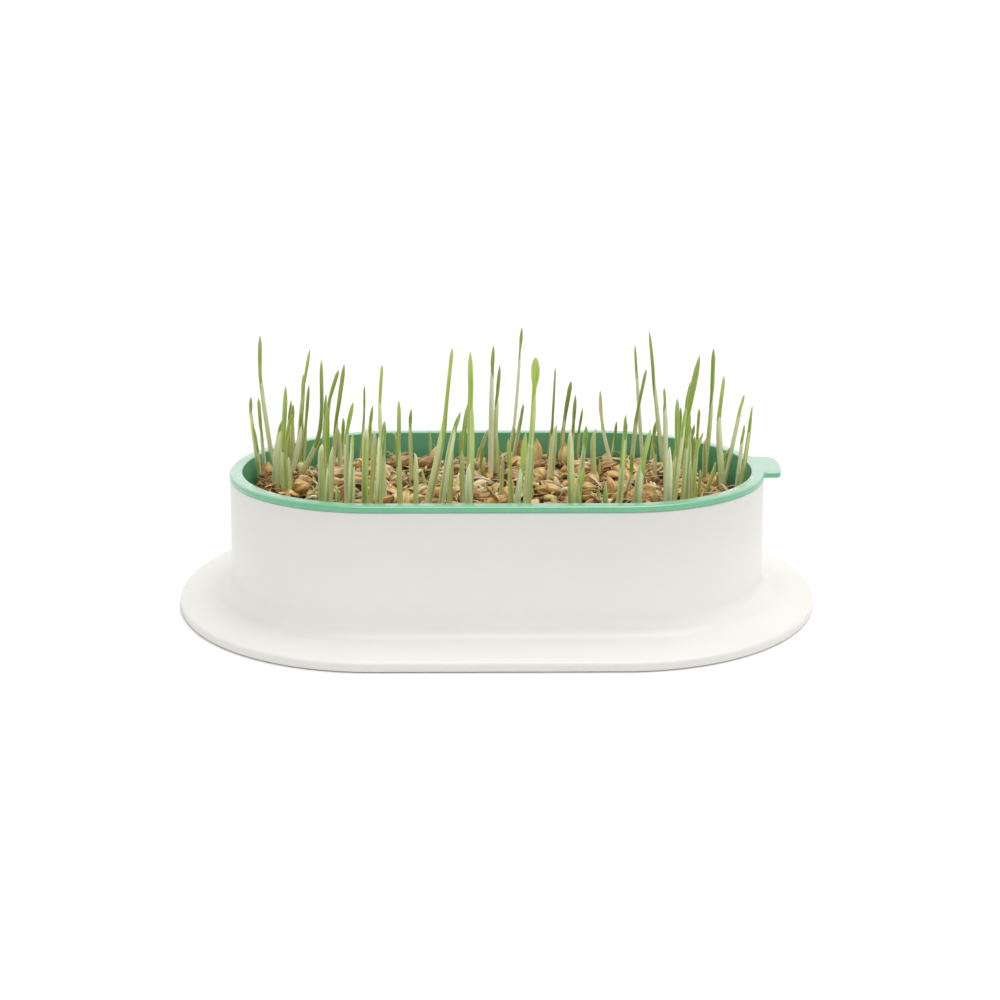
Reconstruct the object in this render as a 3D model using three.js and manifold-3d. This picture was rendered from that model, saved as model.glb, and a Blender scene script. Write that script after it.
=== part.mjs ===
// A wheatgrass tray: a white pot with a wide foot, a green lift-out tray that hangs in it by its rim,
// and a bed of sprouted grain in the tray with its roots below and its green shoots above.
// Millimetres. +X runs along the length towards the lift tab, +Y to the back, +Z up.
// The origin is the middle of the footprint, on the surface that the pot stands on.

import * as THREE from 'three';
import { mergeVertices } from 'three/addons/utils/BufferGeometryUtils.js';
import Module from 'manifold-3d';

// Every level of the pot and the tray has the same plan: two half circles, one at each end of a
// straight stretch. A level is given by the radius of its half circles.
const HALF_STRAIGHT = 32.5;
const STEPS_PER_END = 24;
const GAP = 0.3;

// outer pot
const FOOT_RADIUS = 64.5;
const FOOT_RING_OUTER = 60;
const FOOT_RING_INNER = 50;
const UNDERSIDE_RECESS = 0.8;
const LIP_UNDERCUT = 0.7;
const LIP_TOP = 2.7;
const LIP_ROUND_BELOW = 0.5;
const LIP_ROUND_ABOVE = 0.8;
const LIP_SHOULDER = 1.2;
const POT_EDGE = 0.3;
const FILLET_RADIUS = 5;
const FILLET_STEPS = 5;
const FLANGE_TOP_AT_FILLET = 3.3;
const WALL_RADIUS_TOP = 47.5;
const WALL_RADIUS_FOOT = 49.2;
const POT_TOP = 37.8;
const POT_INNER_TOP = 45.4;
const POT_INNER_FLOOR = 45.0;
const POT_FLOOR_TOP = 3;
const INNER_CORNER = 2.5;

// inner tray
const RIM_TOP = 39.5;
const RIM_BOTTOM = POT_TOP + GAP;
const RIM_OUTER = 47.6;
const RIM_EDGE = 0.5;
const TRAY_OUTER_TOP = 45.0;
const TRAY_INNER_TOP = 43.8;
const TRAY_OUTER_FLOOR = 43.6;
const TRAY_INNER_FLOOR = 42.4;
const TRAY_FLOOR_TOP = 18;
const TRAY_FLOOR_BOTTOM = 16.5;
const TRAY_CORNER = 1;
const SLOT = { length: 14, width: 2.4, columns: 5, rows: 3, columnPitch: 26, rowPitch: 20 };

// Lift tab at the +X end of the rim. It reaches further to the front than to the back, and its end
// edge is part of a circle.
const TAB_FRONT = -12.2;
const TAB_BACK = 8.5;
const TAB_START = 77.5;
const TAB_END = { x: 32.5, y: 5.8, radius: 53.8 };
const TAB_FRONT_CORNER = 1.6;
const TAB_BACK_CORNER = 3.8;
const TAB_INSET = 0.1;

// bed of matted roots, with the level that the grains' upper side reaches
const MAT_BOTTOM = TRAY_FLOOR_TOP + GAP;
const MAT_TOP = 30.3;
const MAT_BUMP = { height: 0.25, lengthX: 6.5, lengthY: 5.5 };
const MAT_EDGE_DROP = 1;
const MAT_EDGE_WIDTH = 1.5;
const MAT_LEVELS_ACROSS = [32, 21, 10, 0];
const MAT_RADIUS_BOTTOM = TRAY_INNER_FLOOR - 0.7;
const MAT_RADIUS_TOP = 42.8;
const BED_LEVEL = 31.5;
const REST_LEVEL = MAT_TOP + MAT_BUMP.height + GAP;

// loose grains: x, y, turn in degrees
const GRAIN = { length: 7.4, width: 3.3, thickness: 2.6 };
const GRAINS = [
  [-60, 5, 25],
  [-43, 8, -40],
  [-38, -4, 70],
  [-16, 22, 15],
  [-12, 3, -60],
  [15.5, -6, 12],
  [27, 24, -25],
  [34, -3, 50],
  [58, 2, -15],
];

// shoots: foot x and y; mouth x and height, where the blade leaves its pale sheath; tip x, y and
// height; width of the sheath and of the blade. Heights are above the grains' upper side.
const SHOOTS = [
  [-71, 15.5, -73.5, 31, -73, 16.5, 44.5, 1.5, 1.3],
  [-73.5, 6, -75, 22, -74.5, 5, 27.5, 1.3, 1.1],
  [-64, -7, -63, 17.5, -61.5, -7, 33, 1.8, 1.5],
  [-67, -4, -65, 16.5, -63.5, -2, 22.5, 2.7, 1.8],
  [-65.5, 24.5, -62.5, 24, -59.5, 26, 39, 1.3, 1.0],
  [-63.5, 22.5, -61.5, 14, -59.5, 21, 28.5, 1.3, 1.1],
  [-63, 15, -56, 14, -54, 14, 37.5, 1.8, 1.3],
  [-51, -10.5, -50, 11, -49, -11, 28, 1.6, 1.5],
  [-54, 25.5, -52, 15.5, -48.5, 24.5, 34.5, 1.5, 1.4],
  [-57.5, 28, -54.5, 21, -51, 29, 32, 1.5, 1.3],
  [-50, -24, -49.5, 16.5, -49, -24, 19.5, 1.9, 1.7],
  [-43.5, -20, -42.5, 21.5, -40.5, -19, 30.5, 1.4, 1.2],
  [-37, -32, -36, 20, -35.5, -32, 26, 1.9, 1.8],
  [-36.5, -22, -34.5, 20, -34.5, -23, 23.5, 1.4, 1.3],
  [-33.5, -34.5, -32, 20.5, -32, -34.5, 24, 1.4, 1.2],
  [-32.5, -18, -33.5, 28, -33, -10, 39.5, 1.3, 1.0],
  [-27.5, -26, -27.5, 17.5, -27, -27, 32.5, 1.7, 1.4],
  [-20.5, -24, -15.5, 21.5, -12.5, -18, 45.5, 2.3, 1.1],
  [-16.5, -30, -12, 24, -10, -31, 30, 1.9, 1.3],
  [-14, -22, -13, 15.5, -13, -23, 20, 1.6, 1.4],
  [-8.5, -30, -7.5, 16, -7.5, -22, 45, 2.2, 1.5],
  [-10, -20, -10, 15, -8.5, -18, 29.5, 1.6, 1.4],
  [-2, 14.5, -1.5, 32, -1, 13, 42, 1.6, 1.2],
  [-1, 18, 0, 23, 1, 19, 35, 1.6, 1.2],
  [4, 40.5, 6, 11, 8.5, 41.5, 44, 1.4, 0.9],
  [8, -28, 10, 33, 10.5, -22, 43.5, 1.7, 2.3],
  [4.5, -34, 6.5, 15, 7.5, -34, 25, 1.8, 1.7],
  [17.5, 36, 18.5, 9.5, 19.5, 37, 31.5, 1.4, 0.9],
  [16.5, 7.5, 18, 16.5, 18.5, 7.5, 18.5, 2.3, 1.6],
  [21.5, 34, 22.5, 13, 24.5, 33, 27.5, 1.6, 1.4],
  [20.5, -34, 19.5, 23, 19.5, -34, 26, 2.0, 1.7],
  [22.5, -20, 24.5, 16.5, 25, -21, 24, 1.7, 1.4],
  [31, 13.5, 30.5, 13, 31.5, 14, 16, 1.8, 1.3],
  [38, 23, 34, 15.5, 33, 22, 26.5, 1.3, 1.2],
  [34, -26, 35, 12, 36, -21, 27.5, 1.6, 1.4],
  [49.5, 35.5, 46.5, 28, 45.5, 36.5, 39, 1.3, 0.9],
  [45, 30, 46, 14.5, 48.5, 29, 32, 1.6, 1.2],
  [56, 33.5, 52, 26, 49.5, 33.5, 44, 1.5, 1.3],
  [38, -34, 39, 15, 41, -34.5, 26, 2.5, 1.7],
  [49, -18, 47.5, 28, 47, -17, 34, 1.5, 0.8],
  [49, -26, 50, 17.5, 50, -22, 32, 1.7, 1.4],
  [59.5, 25, 61, 12, 65, 26, 37, 2.0, 2.0],
  [55, -18, 54.5, 19, 54.5, -19, 24, 2.1, 1.5],
  [68, 21, 68.5, 22, 68, 20, 40, 1.5, 1.4],
  [69, -1, 66.5, 21, 67, -2, 35, 2.0, 1.3],
  [72, 10, 75.5, 22.5, 76.5, 11, 27, 1.3, 0.9],
  [73.2, -6, 74.8, 22, 75, -6, 27, 1.3, 0.9],
];
const SHOOT_SIDES = 6;
const TURN_PER_SHOOT = 47;
const LARGEST_TURN = 24;

// A shoot's rings: how far along the stem (0 foot, 0.5 mouth, 1 tip), share of the width, and
// thickness as a share of the width there.
const SHOOT_RINGS = [
  { along: 0, width: 'sheath', share: 0.75, thickness: 0.85 },
  { along: 0.1, width: 'sheath', share: 1, thickness: 0.85 },
  { along: 0.24, width: 'sheath', share: 1, thickness: 0.85 },
  { along: 0.38, width: 'sheath', share: 0.94, thickness: 0.8 },
  { along: 0.5, width: 'sheath', share: 0.82, thickness: 0.75 },
  { along: 0.58, width: 'blade', share: 0.85, thickness: 0.5 },
  { along: 0.7, width: 'blade', share: 1, thickness: 0.45 },
  { along: 0.84, width: 'blade', share: 0.9, thickness: 0.4 },
  { along: 0.95, width: 'blade', share: 0.55, thickness: 0.45 },
  { along: 1, width: 'blade', share: 0.2, thickness: 0.8 },
];

const whitePlastic = new THREE.MeshStandardMaterial({ color: 0xe9e9e4, roughness: 0.42, metalness: 0 });
const greenPlastic = new THREE.MeshStandardMaterial({ color: 0x9fd6b4, roughness: 0.28, metalness: 0 });
const rootMaterial = new THREE.MeshStandardMaterial({ color: 0xb39f78, roughness: 0.9, metalness: 0 });
const grainMaterial = new THREE.MeshStandardMaterial({ color: 0xb08f5e, roughness: 0.7, metalness: 0 });
const shootMaterial = new THREE.MeshStandardMaterial({ color: 0x93ab4f, roughness: 0.5, metalness: 0 });

const wasm = await Module();
wasm.setup();

// Keeps only position, merges shared corners, and drops the triangles that fold into a line.
function weld(geometry) {
  const bare = new THREE.BufferGeometry();
  bare.setAttribute('position', geometry.getAttribute('position'));
  bare.setIndex(geometry.getIndex());
  const merged = mergeVertices(bare, 1e-4);
  const corners = merged.getIndex().array;
  const kept = [];
  for (let i = 0; i < corners.length; i += 3) {
    const [a, b, c] = corners.slice(i, i + 3);
    if (a !== b && b !== c && c !== a) {
      kept.push(a, b, c);
    }
  }
  merged.setIndex(kept);
  return merged;
}

function toSolid(geometry) {
  const merged = weld(geometry);
  const vertProperties = new Float32Array(merged.getAttribute('position').array);
  const triVerts = new Uint32Array(merged.getIndex().array);
  return new wasm.Manifold(new wasm.Mesh({ numProp: 3, vertProperties, triVerts }));
}

function toGeometry(solid) {
  const mesh = solid.getMesh();
  const geometry = new THREE.BufferGeometry();
  geometry.setAttribute('position', new THREE.BufferAttribute(mesh.vertProperties, 3));
  geometry.setIndex(new THREE.BufferAttribute(mesh.triVerts, 1));
  geometry.computeVertexNormals();
  return geometry;
}

// Directions around the plan, each with the middle of the half circle that it belongs to.
function planDirections() {
  const directions = [];
  for (const end of [1, -1]) {
    for (let step = 0; step <= STEPS_PER_END; step += 1) {
      const angle = -Math.PI / 2 + (step / STEPS_PER_END) * Math.PI + (end < 0 ? Math.PI : 0);
      directions.push({ middle: end * HALF_STRAIGHT, cos: Math.cos(angle), sin: Math.sin(angle) });
    }
  }
  return directions;
}

// Carries a profile of [radius, height] points around the plan. The profile runs with the material
// on its left, from the middle line out and back to it.
function sweepAroundPlan(profile, heightOffset = () => 0) {
  const directions = planDirections();
  const count = directions.length;
  const positions = [];
  for (const [radius, height] of profile) {
    for (const { middle, cos, sin } of directions) {
      const x = middle + radius * cos;
      const y = radius * sin;
      positions.push(x, y, height + heightOffset(x, y, height));
    }
  }
  const triangles = [];
  for (let level = 0; level + 1 < profile.length; level += 1) {
    for (let step = 0; step < count; step += 1) {
      const here = level * count + step;
      const beside = level * count + (step + 1) % count;
      triangles.push(here, beside, here + count);
      triangles.push(beside, beside + count, here + count);
    }
  }
  const geometry = new THREE.BufferGeometry();
  geometry.setAttribute('position', new THREE.Float32BufferAttribute(positions, 3));
  geometry.setIndex(triangles);
  const closed = weld(geometry);
  closed.computeVertexNormals();
  return closed;
}

// The quarter circle between the sloping flange top and the wall, from the flange end up.
function filletPoints() {
  const points = [];
  for (let step = 0; step <= FILLET_STEPS; step += 1) {
    const angle = (step / FILLET_STEPS) * Math.PI / 2;
    const radius = WALL_RADIUS_FOOT + FILLET_RADIUS * (1 - Math.sin(angle));
    const height = FLANGE_TOP_AT_FILLET + FILLET_RADIUS * (1 - Math.cos(angle));
    points.push([radius, height]);
  }
  return points;
}

function outerPot() {
  const profile = [
    [0, UNDERSIDE_RECESS],
    [FOOT_RING_INNER, UNDERSIDE_RECESS],
    [FOOT_RING_INNER, 0],
    [FOOT_RING_OUTER, 0],
    [FOOT_RADIUS - LIP_ROUND_BELOW, LIP_UNDERCUT],
    [FOOT_RADIUS, LIP_UNDERCUT + LIP_ROUND_BELOW],
    [FOOT_RADIUS, LIP_TOP - LIP_ROUND_ABOVE],
    [FOOT_RADIUS - LIP_SHOULDER / 3, LIP_TOP - LIP_ROUND_ABOVE / 3],
    [FOOT_RADIUS - LIP_SHOULDER, LIP_TOP],
    ...filletPoints(),
    [WALL_RADIUS_TOP, POT_TOP - POT_EDGE],
    [WALL_RADIUS_TOP - POT_EDGE, POT_TOP],
    [POT_INNER_TOP, POT_TOP],
    [POT_INNER_FLOOR, POT_FLOOR_TOP + INNER_CORNER],
    [POT_INNER_FLOOR - 0.3 * INNER_CORNER, POT_FLOOR_TOP + 0.3 * INNER_CORNER],
    [POT_INNER_FLOOR - INNER_CORNER, POT_FLOOR_TOP],
    [0, POT_FLOOR_TOP],
  ];
  return new THREE.Mesh(sweepAroundPlan(profile), whitePlastic);
}

// A flat plate with its two outer corners rounded, which runs into the rim on its inner side.
function liftTab() {
  const { x, y, radius } = TAB_END;
  const frontAngle = Math.asin((TAB_FRONT - y) / radius);
  const backAngle = Math.asin((TAB_BACK - y) / radius);
  const frontX = x + radius * Math.cos(frontAngle);
  const backX = x + radius * Math.cos(backAngle);
  const endStart = frontAngle + TAB_FRONT_CORNER / radius;
  const shape = new THREE.Shape();
  shape.moveTo(TAB_START, TAB_FRONT);
  shape.lineTo(frontX - TAB_FRONT_CORNER, TAB_FRONT);
  shape.quadraticCurveTo(
    frontX, TAB_FRONT, x + radius * Math.cos(endStart), y + radius * Math.sin(endStart));
  shape.absarc(x, y, radius, endStart, backAngle - TAB_BACK_CORNER / radius);
  shape.quadraticCurveTo(backX, TAB_BACK, backX - TAB_BACK_CORNER, TAB_BACK);
  shape.lineTo(TAB_START, TAB_BACK);
  shape.closePath();
  const depth = RIM_TOP - RIM_BOTTOM - 2 * TAB_INSET;
  const plate = new THREE.ExtrudeGeometry(shape, { depth, bevelEnabled: false, curveSegments: 6 });
  return plate.translate(0, 0, RIM_BOTTOM + TAB_INSET);
}

function floorSlots() {
  const slots = [];
  const depth = 3 * (TRAY_FLOOR_TOP - TRAY_FLOOR_BOTTOM);
  const middle = (TRAY_FLOOR_TOP + TRAY_FLOOR_BOTTOM) / 2;
  for (let column = 0; column < SLOT.columns; column += 1) {
    for (let row = 0; row < SLOT.rows; row += 1) {
      const slot = new THREE.BoxGeometry(SLOT.length, SLOT.width, depth);
      const x = (column - (SLOT.columns - 1) / 2) * SLOT.columnPitch;
      const y = (row - (SLOT.rows - 1) / 2) * SLOT.rowPitch;
      slots.push(slot.translate(x, y, middle));
    }
  }
  return slots;
}

function innerTray() {
  const profile = [
    [0, TRAY_FLOOR_BOTTOM],
    [TRAY_OUTER_FLOOR - TRAY_CORNER, TRAY_FLOOR_BOTTOM],
    [TRAY_OUTER_FLOOR, TRAY_FLOOR_BOTTOM + TRAY_CORNER],
    [TRAY_OUTER_TOP, RIM_BOTTOM],
    [RIM_OUTER - RIM_EDGE, RIM_BOTTOM],
    [RIM_OUTER, RIM_BOTTOM + RIM_EDGE],
    [RIM_OUTER, RIM_TOP - RIM_EDGE],
    [RIM_OUTER - RIM_EDGE, RIM_TOP],
    [TRAY_INNER_TOP + RIM_EDGE, RIM_TOP],
    [TRAY_INNER_TOP, RIM_TOP - RIM_EDGE],
    [TRAY_INNER_FLOOR, TRAY_FLOOR_TOP + TRAY_CORNER],
    [TRAY_INNER_FLOOR - TRAY_CORNER, TRAY_FLOOR_TOP],
    [0, TRAY_FLOOR_TOP],
  ];
  let solid = toSolid(sweepAroundPlan(profile)).add(toSolid(liftTab()));
  for (const slot of floorSlots()) {
    solid = solid.subtract(toSolid(slot));
  }
  return new THREE.Mesh(toGeometry(solid), greenPlastic);
}

// The top of the root mat is gently uneven: two crossed waves, which fade out below the top.
function matBump(x, y, height) {
  if (height < MAT_TOP - MAT_EDGE_DROP) {
    return 0;
  }
  return MAT_BUMP.height * Math.sin(x / MAT_BUMP.lengthX) * Math.cos(y / MAT_BUMP.lengthY);
}

function rootMat() {
  const profile = [
    [0, MAT_BOTTOM],
    [MAT_RADIUS_BOTTOM - TRAY_CORNER, MAT_BOTTOM],
    [MAT_RADIUS_BOTTOM, MAT_BOTTOM + TRAY_CORNER],
    [MAT_RADIUS_TOP, MAT_TOP - MAT_EDGE_DROP],
    [MAT_RADIUS_TOP - MAT_EDGE_WIDTH, MAT_TOP],
    ...MAT_LEVELS_ACROSS.map((radius) => [radius, MAT_TOP]),
  ];
  return new THREE.Mesh(sweepAroundPlan(profile, matBump), rootMaterial);
}

function grain([x, y, turn]) {
  const kernel = new THREE.SphereGeometry(0.5, 10, 6);
  kernel.scale(GRAIN.length, GRAIN.width, GRAIN.thickness);
  const mesh = new THREE.Mesh(kernel, grainMaterial);
  mesh.position.set(x, y, REST_LEVEL + GRAIN.thickness / 2);
  mesh.rotation.z = THREE.MathUtils.degToRad(turn);
  return mesh;
}

// A stem of level rings along a smooth curve through foot, mouth and tip, closed at both ends.
function shoot([footX, footY, mouthX, mouthHeight, tipX, tipY, tipHeight, sheath, blade], number) {
  const widths = { sheath, blade };
  const mouthY = THREE.MathUtils.lerp(footY, tipY, 0.5 * mouthHeight / tipHeight);
  const stem = new THREE.CatmullRomCurve3([
    new THREE.Vector3(footX, footY, REST_LEVEL),
    new THREE.Vector3(mouthX, mouthY, BED_LEVEL + mouthHeight),
    new THREE.Vector3(tipX, tipY, BED_LEVEL + tipHeight),
  ]);
  const turn = THREE.MathUtils.degToRad(LARGEST_TURN * Math.sin(number * TURN_PER_SHOOT));
  const positions = [];
  for (const ring of SHOOT_RINGS) {
    const middle = stem.getPoint(ring.along);
    const halfWidth = widths[ring.width] * ring.share / 2;
    for (let side = 0; side < SHOOT_SIDES; side += 1) {
      const angle = (side / SHOOT_SIDES) * 2 * Math.PI;
      const across = halfWidth * Math.cos(angle);
      const through = halfWidth * ring.thickness * Math.sin(angle);
      const x = middle.x + across * Math.cos(turn) - through * Math.sin(turn);
      const y = middle.y + across * Math.sin(turn) + through * Math.cos(turn);
      positions.push(x, y, middle.z);
    }
  }
  const triangles = [];
  const top = (SHOOT_RINGS.length - 1) * SHOOT_SIDES;
  for (let start = 0; start < top; start += SHOOT_SIDES) {
    for (let side = 0; side < SHOOT_SIDES; side += 1) {
      const here = start + side;
      const beside = start + (side + 1) % SHOOT_SIDES;
      triangles.push(here, beside, here + SHOOT_SIDES);
      triangles.push(beside, beside + SHOOT_SIDES, here + SHOOT_SIDES);
    }
  }
  for (let side = 1; side + 1 < SHOOT_SIDES; side += 1) {
    triangles.push(0, side + 1, side);
    triangles.push(top, top + side, top + side + 1);
  }
  const geometry = new THREE.BufferGeometry();
  geometry.setAttribute('position', new THREE.Float32BufferAttribute(positions, 3));
  geometry.setIndex(triangles);
  geometry.computeVertexNormals();
  return new THREE.Mesh(geometry, shootMaterial);
}

function named(mesh, name) {
  mesh.name = name;
  return mesh;
}

const group = new THREE.Group();
group.add(named(outerPot(), 'outer_pot'));
group.add(named(innerTray(), 'inner_tray'));
group.add(named(rootMat(), 'root_mat'));
GRAINS.forEach((place, index) => {
  group.add(named(grain(place), `grain_${String(index + 1).padStart(2, '0')}`));
});
SHOOTS.forEach((row, index) => {
  group.add(named(shoot(row, index), `shoot_${String(index + 1).padStart(2, '0')}`));
});

export default group;
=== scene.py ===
"""Young wheatgrass in an oval sprouting tray.

A white pot with a wide foot stands on the floor. A mint green tray hangs in it by its rim, and in
the tray lies a bed of sprouted grain with its roots, husks and shoots. Lengths are in metres.

Every new surface is a grid: rings of points, one after the other, skinned with quads. The pot, the
tray and the mat carry their rings around the oval plan. Grains, husks, roots and shoots carry
theirs along a line.
"""

import bpy
import numpy as np
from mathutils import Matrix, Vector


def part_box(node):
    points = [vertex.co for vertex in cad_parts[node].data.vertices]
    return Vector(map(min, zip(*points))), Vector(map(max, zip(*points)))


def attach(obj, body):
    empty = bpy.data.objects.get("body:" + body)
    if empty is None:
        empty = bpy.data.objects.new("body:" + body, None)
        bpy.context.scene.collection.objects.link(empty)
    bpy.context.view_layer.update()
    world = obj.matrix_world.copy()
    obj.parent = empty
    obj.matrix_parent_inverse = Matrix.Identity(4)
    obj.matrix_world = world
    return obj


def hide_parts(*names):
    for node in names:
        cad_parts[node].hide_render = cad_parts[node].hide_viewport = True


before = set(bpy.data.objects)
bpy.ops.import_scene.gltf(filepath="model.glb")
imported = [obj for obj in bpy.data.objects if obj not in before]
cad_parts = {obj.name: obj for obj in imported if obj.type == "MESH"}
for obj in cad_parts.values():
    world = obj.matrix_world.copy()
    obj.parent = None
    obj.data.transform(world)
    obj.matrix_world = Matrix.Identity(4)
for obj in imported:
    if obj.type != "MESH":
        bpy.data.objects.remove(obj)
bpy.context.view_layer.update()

MM = 0.001
TURN = 2 * np.pi
draw = np.random.default_rng(20)

# ---------------------------------------------------------------- sizes taken from the frame

_, pot_high = (np.array(corner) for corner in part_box("outer_pot"))
tray_low, tray_high = (np.array(corner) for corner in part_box("inner_tray"))
_, mat_high = (np.array(corner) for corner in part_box("root_mat"))

FOOT_RADIUS = pot_high[1]
HALF_STRAIGHT = pot_high[0] - FOOT_RADIUS
POT_TOP = pot_high[2]
RIM_TOP = tray_high[2]
RIM_RADIUS = -tray_low[0] - HALF_STRAIGHT
TRAY_FLOOR = tray_low[2]
MAT_TOP = mat_high[2]

# ---------------------------------------------------------------- sizes of the finished pieces

FOOT_RING = (50 * MM, 60 * MM)
UNDERSIDE_RECESS = 0.8 * MM
LIP = {"bottom": 0.15 * MM, "top": 2.7 * MM, "round_below": 0.3 * MM, "round_above": 0.9 * MM}
FLANGE_AT_FILLET = 3.4 * MM
FILLET = 5.2 * MM
WALL_RADIUS_TOP = 47.5 * MM
WALL_RADIUS_FOOT = 49.0 * MM
WALL_THICKNESS = 2.1 * MM
POT_FLOOR = 3 * MM
# Profiles end in a small ring of this radius, which a flat face closes.
HUB = 0.3 * MM

RIM_HEIGHT = RIM_TOP - POT_TOP - 0.05 * MM
RIM_ROUND = {"inside": 0.4 * MM, "below": 0.35 * MM, "above": 0.8 * MM}
TRAY_INNER_TOP = 43.8 * MM
TRAY_INNER_FLOOR = 42.4 * MM
TRAY_THICKNESS = 1.2 * MM
TRAY_FLOOR_THICKNESS = 1.5 * MM
TAB = {"front": -12.2 * MM, "back": 8.5 * MM, "front_corner": 1.6 * MM, "back_corner": 3.8 * MM,
       "neck": 1.4 * MM}
TAB_END = {"x": 32.5 * MM, "y": 5.8 * MM, "radius": 53.8 * MM}

BED_BASE = MAT_TOP - 1.9 * MM
BED_RADIUS = 42.2 * MM

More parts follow.
